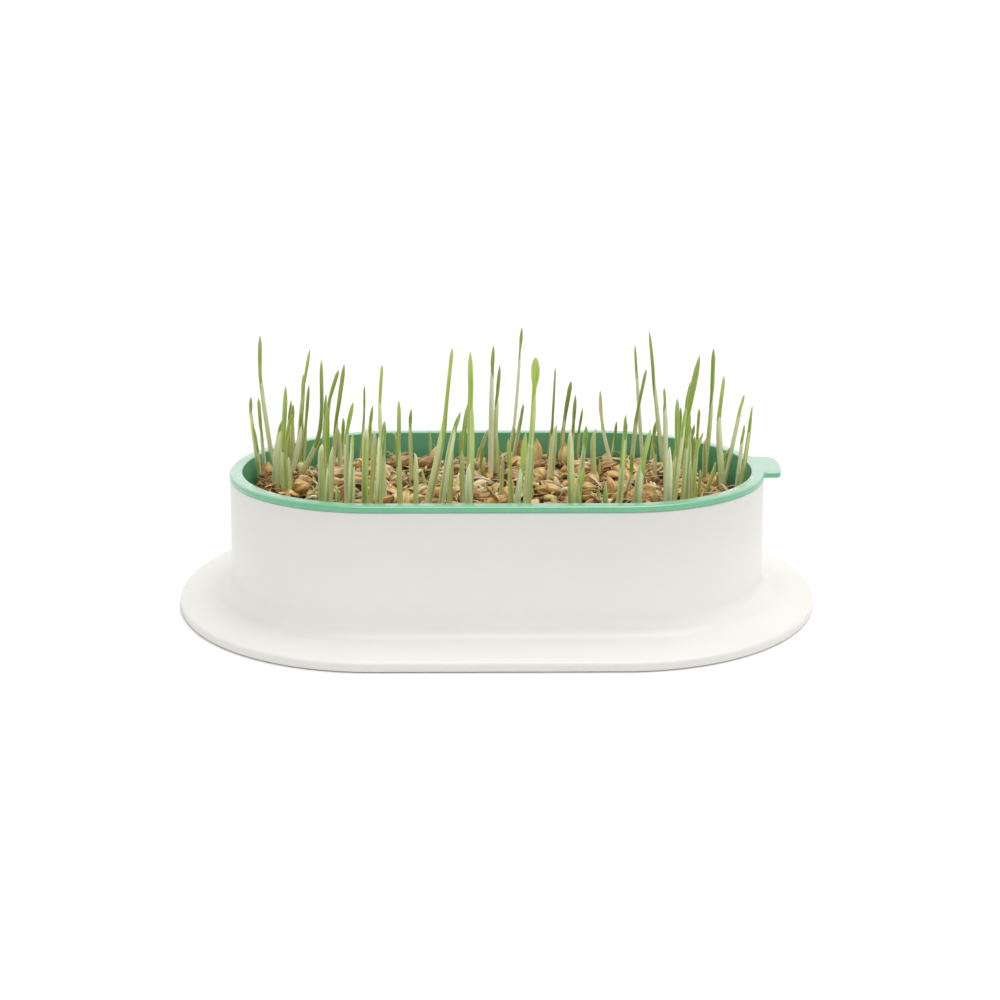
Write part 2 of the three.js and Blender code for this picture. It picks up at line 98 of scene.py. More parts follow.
# Shoots too small for a solid of their own, in millimetres. Foot x and y; mouth x and height, where
# the blade leaves its sheath; tip x, y and height; width of the sheath and of the blade.
BED_LEVEL = 31.5 * MM
SMALL_SHOOTS = [
    (-72.5, 9.5, -73, 14, -73, 8.5, 26.5, 1.2, 1.1),
    (-73, 4, -73.5, 12.5, -74.5, 5, 19, 1.0, 0.9),
    (-67.5, 21.5, -67, 12.5, -65.5, 21.5, 23.5, 1.2, 1.0),
    (-68.5, 18, -66.5, 14, -65, 18, 19.5, 1.3, 1.1),
    (-62.5, -3.5, -62.5, 9.5, -62.5, -4, 11, 1.5, 1.2),
    (-64.5, 27.5, -63.5, 15, -62, 27, 31, 1.4, 1.3),
    (-66, 20, -63, 12.5, -62, 19, 20.5, 1.3, 1.1),
    (-58, 32.5, -57, 13.5, -56, 32.5, 23.5, 1.3, 1.0),
    (-48.5, -18, -47.5, 13.5, -47, -18, 17.5, 1.6, 1.3),
    (-52, 34.5, -51.5, 8, -51, 35, 15, 1.4, 1.2),
    (-50.5, 20, -50.5, 11.5, -50.5, 19, 15, 1.4, 1.2),
    (-41, -33.5, -39.5, 20, -39, -34, 24.5, 1.3, 1.1),
    (-46, 34, -44, 15.5, -43.5, 34, 26, 1.0, 0.8),
    (-43, 37.5, -42.5, 11, -41.5, 38, 18.5, 1.4, 1.2),
    (-26.5, 4.5, -26.5, 18, -26, 4, 24, 1.3, 1.1),
    (-34, 36, -34, 8, -35.5, 36, 10, 1.2, 1.0),
    (-22.5, 38, -22.5, 8, -23, 38, 10, 1.0, 0.9),
    (-20.5, 40, -21, 3.5, -21.5, 40, 5, 1.0, 1.0),
    (-23, -30, -22.5, 15.5, -23, -30, 18.5, 1.4, 1.2),
    (-22, 0, -22.5, 3, -23, 0, 6.5, 1.1, 1.1),
    (-12, 34, -12, 8, -12, 34, 11, 1.0, 1.0),
    (0.5, 17, 0, 10.5, 0, 17, 13.5, 1.4, 1.3),
    (-7, 33.5, -3.5, 9.5, -2.5, 33.5, 11.5, 1.3, 1.2),
    (-6, 16, -5, 3.5, -4.5, 16, 9.5, 1.2, 1.2),
    (-1, -14, -1, 2.5, -1, -14, 5, 0.9, 0.9),
    (5.5, 36, 8, 13.5, 9, 36, 19.5, 1.4, 1.2),
    (4, -22, 3.5, 10.5, 3, -22, 20.5, 1.6, 1.4),
    (1, -14, 1.5, 12, 1.5, -14, 14.5, 1.2, 1.0),
    (25, 38, 26, 11, 26.5, 38, 22, 1.4, 1.4),
    (27.5, 38.5, 28, 9.5, 29, 38.5, 17.5, 1.2, 1.0),
    (23.5, -12.5, 24.5, 3, 25.5, -12.5, 9.5, 1.0, 0.9),
    (33, 17, 33, 3.5, 33, 17, 5, 1.1, 1.0),
    (39, 38, 40, 7, 40.5, 38, 13, 1.1, 1.0),
    (32, -15.5, 31.5, 4, 31.5, -15.5, 6, 1.2, 1.2),
    (29.5, -15, 29.5, 2, 29.5, -15, 5, 1.0, 1.0),
    (37.5, -10, 39.5, 6.5, 39.5, -10, 13.5, 1.3, 1.2),
    (52.5, 36, 53, 7.5, 53.5, 36, 13.5, 1.4, 1.4),
    (50.5, 13.5, 50, 9.5, 49.5, 13.5, 14, 1.2, 1.0),
    (60, 30, 60.5, 12.5, 60.5, 30, 19.5, 1.2, 1.0),
    (60, 22, 60.5, 19.5, 61.5, 21, 29.5, 1.1, 0.8),
    (65, 23, 65, 11.5, 65, 22, 20.5, 1.3, 1.0),
    (63.5, 26, 64, 10, 64.5, 26, 14.5, 1.2, 1.2),
    (52, -14, 53, 17, 53.5, -14, 20.5, 1.5, 1.3),
    (47, -34, 46.5, 17.5, 46.5, -34, 21, 2.0, 1.7),
    (49, -28, 51, 25.5, 51.5, -28, 30.5, 1.4, 1.1),
    (52.5, -24, 53, 21, 53.5, -24, 28, 1.3, 1.1),
    (55.5, -20, 55, 12, 55, -20, 13.5, 1.2, 1.0),
    (57, -16, 57.5, 15, 59, -16, 21, 1.3, 1.1),
    (66, 12, 65.5, 9.5, 65.5, 12, 13, 1.5, 1.4),
    (67, 15.5, 67, 5, 67.5, 15.5, 7.5, 1.5, 1.4),
    (63, -4.5, 65, 6, 65.5, -4.5, 9.5, 1.3, 1.2),
    (71, 13, 72.5, 5, 74, 13.5, 10, 1.0, 1.1),
    (71, -10, 71.8, 17.5, 72.1, -10, 22, 1.3, 1.0),
    (73.5, -1, 73.5, 2.5, 74, -1, 4.5, 0.9, 0.8),
    (59, -11, 58.5, 4.5, 58, -11, 6, 1.1, 0.9),
    (60.5, -7.5, 60.5, 5.5, 60.5, -7.5, 8, 1.1, 0.9),
    (46.5, -15.5, 46, 2.5, 46, -15.5, 4.5, 1.1, 0.9),
    (-33.5, -28, -31.5, 21, -31, -28, 27, 1.8, 1.4),
    (-40.5, -33, -39.5, 12.5, -39, -33, 15.5, 1.4, 1.2),
    (-47.5, -33, -46.5, 12, -46.5, -33, 15, 1.3, 1.2),
    (-44.5, -34, -44, 7, -44, -34, 10.5, 1.3, 1.5),
    (-62, -9.5, -61.5, 9.5, -61.5, -9.5, 12.5, 1.7, 1.4),
    (-66, 17, -62.5, 12.5, -62, 17, 16, 1.7, 1.4),
    (-66, 19, -65, 17.5, -64.5, 19, 22.5, 1.5, 1.3),
    (-57, -13.5, -54.5, 2, -52.5, -13.5, 4.5, 1.3, 1.2),
    (17, 30, 19, 10, 19.5, 30, 12.5, 2.0, 1.6),
    (22, -33, 22.5, 9, 23.5, -33, 15, 1.6, 1.7),
    (-8, -34, -8, 13.5, -7.5, -34, 16.5, 1.9, 1.4),
    (30, -34, 29.5, 7, 29.5, -34, 11, 1.6, 1.4),
    (49.5, -26, 49.5, 14.5, 49.5, -26, 19, 1.8, 1.4),
    (61, 9.5, 61.5, 9, 61.5, 9.5, 14, 1.5, 1.3),
    (68.5, 3, 69, 7.5, 71.5, 3, 12, 1.2, 1.4),
]


# ---------------------------------------------------------------- materials


def srgb(red, green, blue):
    """A screen colour from 0 to 255 as the linear colour that a shader takes."""
    share = np.array([red, green, blue]) / 255
    linear = np.where(share <= 0.04045, share / 12.92, ((share + 0.055) / 1.055) ** 2.4)
    return (*linear.tolist(), 1.0)


class Wire:
    """A node's output that +, -, * and ** work on, each adding one Math node."""

    def __init__(self, nodes, socket):
        self.nodes = nodes
        self.socket = socket

    def maths(self, operation, first, second=0.0):
        """One Math node on two values, either of which may be a wire."""
        return self.nodes.node("ShaderNodeMath", {0: first, 1: second}, operation=operation)

    def __add__(self, other):
        return self.maths("ADD", self, other)

    def __radd__(self, other):
        return self.maths("ADD", other, self)

    def __sub__(self, other):
        return self.maths("SUBTRACT", self, other)

    def __rsub__(self, other):
        return self.maths("SUBTRACT", other, self)

    def __mul__(self, other):
        return self.maths("MULTIPLY", self, other)

    def __rmul__(self, other):
        return self.maths("MULTIPLY", other, self)

    def __pow__(self, other):
        return self.maths("POWER", self, other)

    def cosine(self):
        return self.maths("COSINE", self)

    def sine(self):
        return self.maths("SINE", self)

    def wave(self):
        """The cosine, carried from -1..1 to 0..1."""
        return self.cosine() * 0.5 + 0.5


class Nodes:
    """The nodes of a material or of the sky."""

    def __init__(self, tree):
        self.tree = tree

    def node(self, kind, inputs=None, output=0, stops=None, **settings):
        """Adds a node: its settings first, then its ramp's stops, then its sockets' values."""
        made = self.tree.nodes.new(kind)
        for setting, value in settings.items():
            setattr(made, setting, value)
        if stops:
            while len(made.color_ramp.elements) < len(stops):
                made.color_ramp.elements.new(1.0)
            for element, (position, colour) in zip(made.color_ramp.elements, stops):
                element.position = position
                element.color = colour
        for socket, value in (inputs or {}).items():
            self.feed(made.inputs[socket], value)
        return Wire(self, made.outputs[output])

    def feed(self, socket, value):
        """Links a wire to a socket, or sets the socket to a plain value."""
        if isinstance(value, Wire):
            self.tree.links.new(value.socket, socket)
        else:
            socket.default_value = value

    def ramp(self, share, *stops):
        """A colour that runs through stops, each a position and a screen colour's three numbers."""
        colours = [(position, srgb(*colour)) for position, *colour in stops]
        return self.node("ShaderNodeValToRGB", {"Fac": share}, stops=colours)

    def levels(self, share, *stops):
        """A share that runs through stops, each a position and a level from 0 to 1."""
        greys = [(position, (level, level, level, 1)) for position, level in stops]
        return self.node("ShaderNodeValToRGB", {"Fac": share}, stops=greys)

    def rescale(self, value, start, end, low=0.0, high=1.0):
        """value carried from start..end to low..high, and held there outside."""
        return self.node("ShaderNodeMapRange", {0: value, 1: start, 2: end, 3: low, 4: high})


class Finish(Nodes):
    """A material with one Principled shader, and the nodes that feed it."""

    def __init__(self, name, **constants):
        self.material = bpy.data.materials.new(name)
        self.material.use_nodes = True
        super().__init__(self.material.node_tree)
        self.tree.nodes.clear()
        output = self.tree.nodes.new("ShaderNodeOutputMaterial")
        self.shader = self.tree.nodes.new("ShaderNodeBsdfPrincipled")
        self.tree.links.new(self.shader.outputs[0], output.inputs["Surface"])
        for socket, value in constants.items():
            self.shader.inputs[socket.replace("_", " ")].default_value = value

    def shade(self, **varying):
        """Feeds the shader what varies over the piece, and gives the material."""
        for socket, value in varying.items():
            self.feed(self.shader.inputs[socket.replace("_", " ")], value)
        return self.material

    def place(self, stretch=(1, 1, 1)):
        """Object coordinates, stretched."""
        at = self.node("ShaderNodeTexCoord", output="Object")
        return self.node("ShaderNodeMapping", {"Vector": at, "Scale": stretch})

    def reach(self, axis):
        """How far a point lies along the object's X, Y or Z axis."""
        at = self.node("ShaderNodeTexCoord", output="Object")
        return self.node("ShaderNodeSeparateXYZ", {"Vector": at}, output=axis)

    def around(self):
        """The piece's own map: how far around a ring or across a blade a point is, from 0 to 1."""
        at = self.node("ShaderNodeUVMap", uv_map="Skin")
        return self.node("ShaderNodeSeparateXYZ", {"Vector": at}, output="X")

    def along(self):
        """The piece's own map: how far along the line a point is, from 0 at the foot to 1."""
        at = self.node("ShaderNodeUVMap", uv_map="Skin")
        return self.node("ShaderNodeSeparateXYZ", {"Vector": at}, output="Y")

    def tone(self):
        """The shade that each grain, husk or shoot was given, from 0 to 1."""
        return self.node("ShaderNodeAttribute", attribute_name="tone", output="Fac")

    def on_ring(self, across, along):
        """A place on a tube, without a seam: the way around it as a circle, the way along it, and
        its tone, which makes every tube different."""
        angle = self.around() * TURN
        inputs = {"X": angle.cosine() * across + self.tone() * 60.0, "Y": angle.sine() * across,
                  "Z": self.along() * along}
        return self.node("ShaderNodeCombineXYZ", inputs)

    def noise(self, at, scale, detail=2.0, roughness=0.5):
        """Cloudy noise from 0 to 1; detail is how many finer layers it has."""
        inputs = {"Vector": at, "Scale": scale, "Detail": detail, "Roughness": roughness}
        return self.node("ShaderNodeTexNoise", inputs)

    def blend(self, share, first, second):
        """The second colour over the first by share."""
        inputs = {0: share, 6: first, 7: second}
        return self.node("ShaderNodeMix", inputs, output=2, data_type="RGBA")

    def bump(self, height, distance, strength=1.0):
        """A normal from a height, where a height of 1 stands distance high."""
        inputs = {"Height": height, "Distance": distance, "Strength": strength}
        return self.node("ShaderNodeBump", inputs)


def pot_plastic():
    """Satin white moulded plastic: a faint cloud in its colour and gloss, and a fine spark texture.
    Painted shade greys the wall towards its top, and the lip and underside near the floor.
    """
    finish = Finish("satin_white_plastic", Specular_IOR_Level=0.5, IOR=1.49)
    cloud = finish.noise(finish.place(), 45.0, 3.0)
    grit = finish.noise(finish.place(), 2600.0, 2.0)
    clouded = finish.ramp(cloud, (0.3, 240, 239, 234), (0.7, 243, 242, 237))
    # Painted shade: the colour greys towards the top of the wall, and at the lip and underside near the
    # floor.
    upper = finish.rescale(finish.reach("Z"), 8 * MM, RIM_TOP)
    lower = finish.rescale(finish.reach("Z"), 1.5 * MM, 5 * MM, 0.75, 0.0)
    colour = finish.blend(upper + lower, clouded, srgb(225, 224, 220))
    normal = finish.bump(grit * 0.7 + cloud * 0.3, 0.03 * MM, 0.5)
    return finish.shade(Base_Color=colour, Roughness=0.3 + cloud * 0.14, Normal=normal)


# Squares, in square metres, of the distances from the middle at which the rim's ends, with their
# painted sheen, dried spots and painted glints, start and are full, and of the distances from the
# long axis at which its painted glints do.
SHEEN_AND_SPOT_ENDS = (0.0025, 0.004)
DROP_GLINT_SIDES = (0.0001, 0.0003)


def tray_plastic():
    """Glossy mint green plastic. Its upper side is paled by a painted sheen, most near the ends. Near
    the ends it has pale dried splashes in spots, and white dots of painted glint along its inner edge."""
    finish = Finish("glossy_mint_plastic", Specular_IOR_Level=0.5, IOR=1.5, Coat_IOR=1.7,
                    Coat_Roughness=0.26)
    cloud = finish.noise(finish.place(), 60.0, 3.0)
    wave = finish.noise(finish.place((1, 1, 0.12)), 90.0, 2.0)
    splash = finish.noise(finish.place(), 900.0, 4.0, 0.65)
    area = finish.noise(finish.place(), 55.0, 1.0)
    mint = finish.ramp(cloud, (0.3, 105, 184, 141), (0.7, 112, 189, 148))
    near_top = finish.rescale(finish.reach("Z"), RIM_TOP - 0.35 * MM, RIM_TOP - 0.05 * MM)
    across = finish.reach("X")
    near_ends = finish.rescale(across * across, *SHEEN_AND_SPOT_ENDS)
    past_middle = (across * across) ** 0.5 - HALF_STRAIGHT
    back = finish.reach("Y")
    radius = (past_middle * past_middle + back * back) ** 0.5
    near_bed = finish.rescale(radius, TRAY_INNER_TOP + 1.0 * MM, TRAY_INNER_TOP + 2.4 * MM, 1.0, 0.0)
    drop_glint_edge = near_bed * finish.rescale(back * back, *DROP_GLINT_SIDES)
    spots = finish.rescale(splash + area * 0.5, 0.92, 0.99, 0.0, 0.6) * near_top * near_ends
    # Painted sheen: the top is paled towards white for the bright room it reflects, most near the ends.
    painted_sheen_share = near_top * (0.06 + near_ends * (0.26 - drop_glint_edge * 0.16))
    painted_sheen_colour = finish.blend(painted_sheen_share, mint, srgb(226, 240, 236))
    splashed = finish.blend(spots, painted_sheen_colour, srgb(232, 242, 236))
    # Painted glints: pure white dots for water sitting along the inner edge near the ends.
    beads = finish.noise(finish.place(), 1700.0, 1.0)
    patchy = finish.rescale(beads + area * 0.5, 0.81, 0.87, 0.0, 0.85)
    drop_glints = patchy * drop_glint_edge * near_top * near_ends
    colour = finish.blend(drop_glints, splashed, srgb(255, 255, 255))
    normal = finish.bump(splash * 0.02 + wave, 0.5 * MM, 0.6)
    return finish.shade(Base_Color=colour, Roughness=0.28 + spots * 0.4, Normal=normal,
                        Coat_Weight=0.35 + near_top * 0.45)


def grain_skin():
    """Straw gold husk over a brown grain: ridges along it with painted shade in their valleys, pale
    streaks, stains and brown ends. Each grain has its tone, and low in the bed it is darkened by
    painted shade between the grains."""
    finish = Finish("sprouted_grain", Specular_IOR_Level=0.7)
    ridge = (finish.around() * (TURN * 5)).wave()
    fibre = finish.noise(finish.on_ring(2.2, 1.4), 1.0, 3.0, 0.6)
    stain = finish.noise(finish.place(), 380.0, 4.0, 0.6)
    ends = finish.levels(finish.along(), (0.02, 1), (0.24, 0), (0.8, 0), (0.98, 1))
    base = finish.ramp(finish.tone(), (0.0, 136, 88, 62), (0.15, 184, 128, 82), (0.3, 214, 160, 76),
                       (0.45, 238, 200, 112), (0.6, 228, 172, 84), (0.75, 254, 228, 146),
                       (0.9, 232, 184, 122), (1.0, 254, 244, 192))
    # Painted shade: the valleys between the ridges are darkened.
    valley_painted_shade = finish.blend((1 - ridge) * 0.42, base, srgb(134, 86, 40))
    streaked = finish.blend(fibre * 2.2 - 1.0, valley_painted_shade, srgb(255, 242, 180))
    stained = finish.blend(stain * 2.4 - 1.1, streaked, srgb(128, 74, 50))
    tipped = finish.blend(ends * 0.6, stained, srgb(84, 50, 34))
    # Painted shade: low in the bed, between the grains, the colour darkens almost to black.
    painted_low_shade = finish.rescale(finish.reach("Z"), MAT_TOP - 0.9 * MM, MAT_TOP + 2.2 * MM, 0.85, 0.0)
    colour = finish.blend(painted_low_shade, tipped, srgb(44, 26, 18))
    height = ridge * 0.4 + fibre * 0.7 + stain * 0.5
    return finish.shade(Base_Color=colour, Roughness=0.28 + stain * 0.3,
                        Normal=finish.bump(height, 0.3 * MM, 0.9))


def husk_skin():
    """Dry papery husk: pale straw with raised veins along it and whiter edges."""
    finish = Finish("papery_husk", Specular_IOR_Level=0.35)
    veins = finish.noise(finish.on_ring(3.5, 0.9), 1.0, 2.0, 0.6)
    base = finish.ramp(finish.tone(), (0.0, 196, 150, 84), (0.5, 240, 210, 146),
                       (1.0, 252, 242, 208))
    colour = finish.blend(veins * 1.3 - 0.45, base, srgb(184, 138, 74))
    return finish.shade(Base_Color=colour, Roughness=0.5 + veins * 0.2,
                        Normal=finish.bump(veins, 0.16 * MM, 0.8))


def root_skin():
    """Moist white root, greenish where its tone is high and a little brown where it is low."""
    finish = Finish("white_root", Specular_IOR_Level=0.5, Subsurface_Weight=0.5,
                    Subsurface_Scale=1.0, Subsurface_Radius=(0.0008, 0.0008, 0.0005))
    patch = finish.noise(finish.place(), 700.0, 2.0)
    base = finish.ramp(finish.tone(), (0.0, 216, 188, 138), (0.35, 240, 230, 196),
                       (0.7, 248, 247, 234), (1.0, 228, 232, 188))
    colour = finish.blend(patch * 0.6 - 0.12, base, srgb(214, 206, 160))
    return finish.shade(Base_Color=colour, Roughness=0.3 + patch * 0.2,
                        Normal=finish.bump(patch, 0.08 * MM, 0.5))


def mat_skin():
    """Dark wet litter under the grains: crumbs and fine roots."""
    finish = Finish("damp_litter", Specular_IOR_Level=0.35)
    crumbs = finish.noise(finish.place(), 520.0, 5.0, 0.65)
    threads = finish.node("ShaderNodeTexVoronoi", {"Vector": finish.place(), "Scale": 600.0},
                          feature="DISTANCE_TO_EDGE")
    colour = finish.ramp(crumbs, (0.3, 40, 26, 20), (0.5, 78, 52, 34), (0.72, 132, 98, 62))
    colour = finish.blend(finish.rescale(threads, 0.0, 0.08, 0.3, 0.0), colour, srgb(200, 176, 134))
    return finish.shade(Base_Color=colour, Roughness=0.6 + crumbs * 0.3,
                        Normal=finish.bump(crumbs, 0.5 * MM, 0.9))


def crumb_skin():
    """Dark crumbs of old husk."""
    finish = Finish("dark_crumb", Specular_IOR_Level=0.35)
    speck = finish.noise(finish.place(), 1500.0, 3.0)
    colour = finish.ramp(speck, (0.35, 78, 54, 34), (0.65, 178, 136, 86))
    return finish.shade(Base_Color=colour, Roughness=0.55 + speck * 0.3,
                        Normal=finish.bump(speck, 0.1 * MM))


def sheath_skin():
    """Pale sheath: cream at the foot and at the edge of its mouth, sage green between, with light and
    dark stripes along it, two dark folds and three light edges. A high tone is a fresher green, and
    away from its hood the leaf inside shows through towards the mouth."""
    finish = Finish("pale_sheath", Specular_IOR_Level=0.8, Sheen_Weight=0.8, Sheen_Roughness=0.3,
                    Sheen_Tint=(1.0, 1.0, 0.8, 1.0))
    angle = finish.around() * TURN
    stripes = finish.noise(finish.on_ring(1.1, 0.5), 1.0, 3.0, 0.55)
    veins = (angle * 11.0).wave()
    patch = finish.noise(finish.place((1, 1, 0.3)), 500.0, 2.0)
    sage = finish.ramp(finish.tone(), (0.0, 244, 254, 220), (0.35, 238, 243, 164),
                       (0.75, 218, 228, 116), (1.0, 168, 204, 40))
    ends = finish.levels(finish.along(), (0.0, 0.9), (0.16, 0.25), (0.35, 0), (0.88, 0),
                         (0.97, 0.6), (1.0, 1))
    green = finish.rescale(finish.tone(), 0.0, 0.3, 0.25, 1.0)
    shown = (1 - angle.cosine()) * finish.rescale(finish.along(), 0.3, 0.9, 0.0, 0.36) * green
    leafy = finish.blend(shown, sage, srgb(162, 196, 70))
    shaded = finish.blend((0.95 - stripes * 2.0) * green * 1.6, leafy, srgb(122, 146, 58))
    plain = finish.rescale(finish.tone(), 0.6, 1.0, 1.0, 0.3)
    striped = finish.blend((stripes * 3.4 - 1.5) * plain, shaded, srgb(255, 255, 220))
    folds = (angle * 2.0 + finish.tone() * 50.0).wave() ** 4.0
    folded = finish.blend(folds * (0.15 + green * 0.5), striped, srgb(118, 136, 56))
    edges = (angle * 3.0 + finish.tone() * 90.0).wave() ** 4.0
    edged = finish.blend(edges * 0.5, folded, srgb(252, 252, 206))
    veined = finish.blend(veins * green * 0.3, edged, srgb(172, 192, 88))
    patched = finish.blend((patch * 0.7 - 0.2) * green, veined, srgb(156, 176, 80))
    colour = finish.blend(ends, patched, srgb(250, 248, 220))
    height = stripes + veins * 0.25
    return finish.shade(Base_Color=colour, Roughness=0.24 + patch * 0.14,
                        Normal=finish.bump(height, 0.12 * MM, 0.7))


def blade_skin():
    """Young blade. Its tone runs from cream through fresh green to a deep green; veins run along it,
    its edges are paled by a painted highlight for light glowing through them, the fold along its
    middle is lighter, and its tip is pale."""
    finish = Finish("green_blade", Specular_IOR_Level=0.7, Sheen_Weight=0.4, Sheen_Roughness=0.3,
                    Sheen_Tint=(1.0, 1.0, 0.7, 1.0))
    across = finish.around() * 2.0 - 1.0
    square = across * across
    veins = (across * 19.0).wave()
    at = finish.node("ShaderNodeCombineXYZ", {"X": across * 1.7 + finish.tone() * 60.0,
                                              "Z": finish.along() * 1.2})
    streak = finish.noise(at, 1.0, 2.0, 0.6)
    patch = finish.noise(finish.place((1, 1, 0.25)), 320.0, 2.0)
    base = finish.ramp(finish.tone(), (0.0, 236, 240, 186), (0.2, 200, 216, 98),
                       (0.45, 150, 188, 16), (0.7, 128, 166, 16), (1.0, 92, 136, 30))
    tip = finish.levels(finish.along(), (0.0, 0), (0.6, 0.05), (0.9, 0.3), (1.0, 0.85))
    tipped = finish.blend(tip, base, srgb(232, 232, 170))
    # Painted highlight: the edges are paled for light glowing through the thin margins.
    edged = finish.blend(square * square * 0.75, tipped, srgb(222, 232, 150))
    folded = finish.blend(finish.rescale(square, 0.0, 0.03, 0.3, 0.0), edged, srgb(216, 226, 136))
    green = finish.rescale(finish.tone(), 0.0, 0.3, 0.15, 1.0)
    veined = finish.blend(veins * green * 0.3, folded, srgb(94, 136, 16))
    streaked = finish.blend(streak * 2.4 - 1.05, veined, srgb(216, 228, 112))
    colour = finish.blend((patch * 0.7 - 0.2) * green, streaked, srgb(90, 132, 20))
    height = veins * 0.3 + streak
    return finish.shade(Base_Color=colour, Roughness=0.26 + patch * 0.12,
                        Normal=finish.bump(height, 0.08 * MM, 0.7))


WHITE_PLASTIC = pot_plastic()
MINT_PLASTIC = tray_plastic()
GRAIN = grain_skin()
HUSK = husk_skin()
ROOT = root_skin()
LITTER = mat_skin()
CRUMB = crumb_skin()
SHEATH = sheath_skin()
BLADE = blade_skin()


# ---------------------------------------------------------------- skinning


class Piece:
    """One object, gathered from skins and made at the end.

    A skin is an array (copies, rows, columns, 3) of rings: each copy's rows run along it and its
    columns run anticlockwise around it, seen from its last row. Neighbouring rows are joined by
    quads, the last column to the first, and the first and last rings are closed by a flat face.
    """

    def __init__(self, name, slot, replaces=()):
        self.name = name
        self.slot = slot
        self.replaces = replaces
        self.points = []
        self.faces = []
        self.maps = []
        self.finishes = []
        self.face_finish = []
        self.tones = []
        self.count = 0

    def skin(self, rings, finish, tone=0.5, across=None):
        """Adds rings. tone is one number or one for each copy. across gives each column's place in
        the map, from 0 to 1, where that isn't its share of the way around."""
        copies, rows, columns, _ = rings.shape
        row = np.arange(rows - 1)[:, None]
        column = np.arange(columns)[None, :]
        beside = (column + 1) % columns
        here, above = row * columns, (row + 1) * columns
        quads = np.stack([here + column, here + beside, above + beside, above + column], axis=-1)
        around = np.append(across, across[0]) if across is not None else np.arange(columns + 1) / columns
        left, right = around[column] + 0 * row, around[column + 1] + 0 * row
        low, high = row / (rows - 1) + 0 * column, (row + 1) / (rows - 1) + 0 * column
        quad_map = np.stack([left, low, right, low, right, high, left, high], axis=-1)
        ends = np.stack([np.arange(columns)[::-1], (rows - 1) * columns + np.arange(columns)])
        end_map = np.stack([around[:-1][[np.arange(columns)[::-1], np.arange(columns)]],
                            np.array([[0.0], [1.0]]) + np.zeros((1, columns))], axis=-1)
        first = self.count + np.arange(copies)[:, None, None] * rows * columns
        self.faces.append((quads.reshape(1, -1, 4) + first).reshape(-1, 4))
        self.faces.append((ends[None] + first).reshape(-1, columns))
        self.maps.append(np.tile(quad_map.reshape(-1, 2), (copies, 1)))
        self.maps.append(np.tile(end_map.reshape(-1, 2), (copies, 1)))
        self.points.append(rings.reshape(-1, 3))
        self.tones.append(np.repeat(np.broadcast_to(tone, copies), rows * columns))
        self.count += copies * rows * columns
        if finish not in self.finishes:
            self.finishes.append(finish)
        faces = copies * (quads.size // 4 + 2)
        self.face_finish.append(np.full(faces, self.finishes.index(finish)))

    def make(self):
        corners = np.concatenate([faces.ravel() for faces in self.faces])
        sides = np.concatenate([np.full(len(faces), faces.shape[1]) for faces in self.faces])
        mesh = bpy.data.meshes.new(self.name)
        mesh.vertices.add(self.count)
        mesh.vertices.foreach_set("co", np.concatenate(self.points).ravel())
        mesh.loops.add(len(corners))
        mesh.loops.foreach_set("vertex_index", corners.astype(np.int32))
        mesh.polygons.add(len(sides))
        mesh.polygons.foreach_set("loop_start", np.append(0, np.cumsum(sides)[:-1]).astype(np.int32))
        for finish in self.finishes:
            mesh.materials.append(finish)
        mesh.polygons.foreach_set("material_index", np.concatenate(self.face_finish).astype(np.int32))
        mesh.update(calc_edges=True)
        mesh.uv_layers.new(name="Skin").data.foreach_set("uv", np.concatenate(self.maps).ravel())
        tones = mesh.attributes.new("tone", "FLOAT", "POINT")
        tones.data.foreach_set("value", np.concatenate(self.tones).astype(np.float32))
        mesh.validate()
        mesh.shade_smooth()
        piece = bpy.data.objects.new(self.name, mesh)
        bpy.context.collection.objects.link(piece)
        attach(piece, "root")
        if self.replaces:
            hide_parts(*self.replaces)


def unit(vectors):
    """Vectors of length 1 in the same directions."""
    return vectors / np.linalg.norm(vectors, axis=-1, keepdims=True)


def ring_angles(columns):
    """Even angles around a ring, from 0."""
    return np.arange(columns) / columns * TURN


def ease(share):
    """0 before 0, 1 after 1, and 3s^2 - 2s^3 between."""
    share = np.clip(share, 0, 1)
    return share * share * (3 - 2 * share)


def smooth_line(points, count):
    """A curve through points with slopes from their neighbours (cubic Hermite), at even steps."""
    slopes = np.gradient(points, axis=0)
    at = np.linspace(0, len(points) - 1, count)
    start = np.minimum(at.astype(int), len(points) - 2)
    t = (at - start)[:, None]
    a, b, da, db = points[start], points[start + 1], slopes[start], slopes[start + 1]
    return ((2 * t**3 - 3 * t**2 + 1) * a + (t**3 - 2 * t**2 + t) * da
            + (3 * t**2 - 2 * t**3) * b + (t**3 - t**2) * db)


def section_axes(line, side):
    """Two directions across a line at each of its points: the side given, squared to the line, and
    the one that completes a right-handed set with the line's direction."""
    along = unit(np.gradient(line, axis=-2))
    side = np.broadcast_to(side, line.shape)
    side = unit(side - (side * along).sum(-1, keepdims=True) * along)
    return side, np.cross(along, side)


# ---------------------------------------------------------------- pot and tray


def oval(per_end, per_side):
    """Columns around the plan, anticlockwise: each has its middle's x, and its direction's cosine
    and sine. Round ends turn about one middle; straight sides slide from one middle to the other."""
    half_turn = np.linspace(-TURN / 4, TURN / 4, per_end, endpoint=False)
    slide = np.linspace(1, -1, per_side, endpoint=False)
    middle = np.concatenate([np.ones(per_end), slide, -np.ones(per_end), -slide])
    angle = np.concatenate([half_turn, np.full(per_side, TURN / 4), half_turn + TURN / 2,
                            np.full(per_side, -TURN / 4)])
    return middle * HALF_STRAIGHT, np.cos(angle), np.sin(angle)


def around_oval(profile, plan):
    """Rings (1, rows, columns, 3): each (radius, height) of the profile carried around the plan."""
    middle, cosine, sine = plan
    radius, height = np.array(profile).T[:, :, None]
    x = middle + radius * cosine
    y = radius * sine + 0 * middle
    return np.stack([x, y, height + 0 * x], axis=-1)[None]


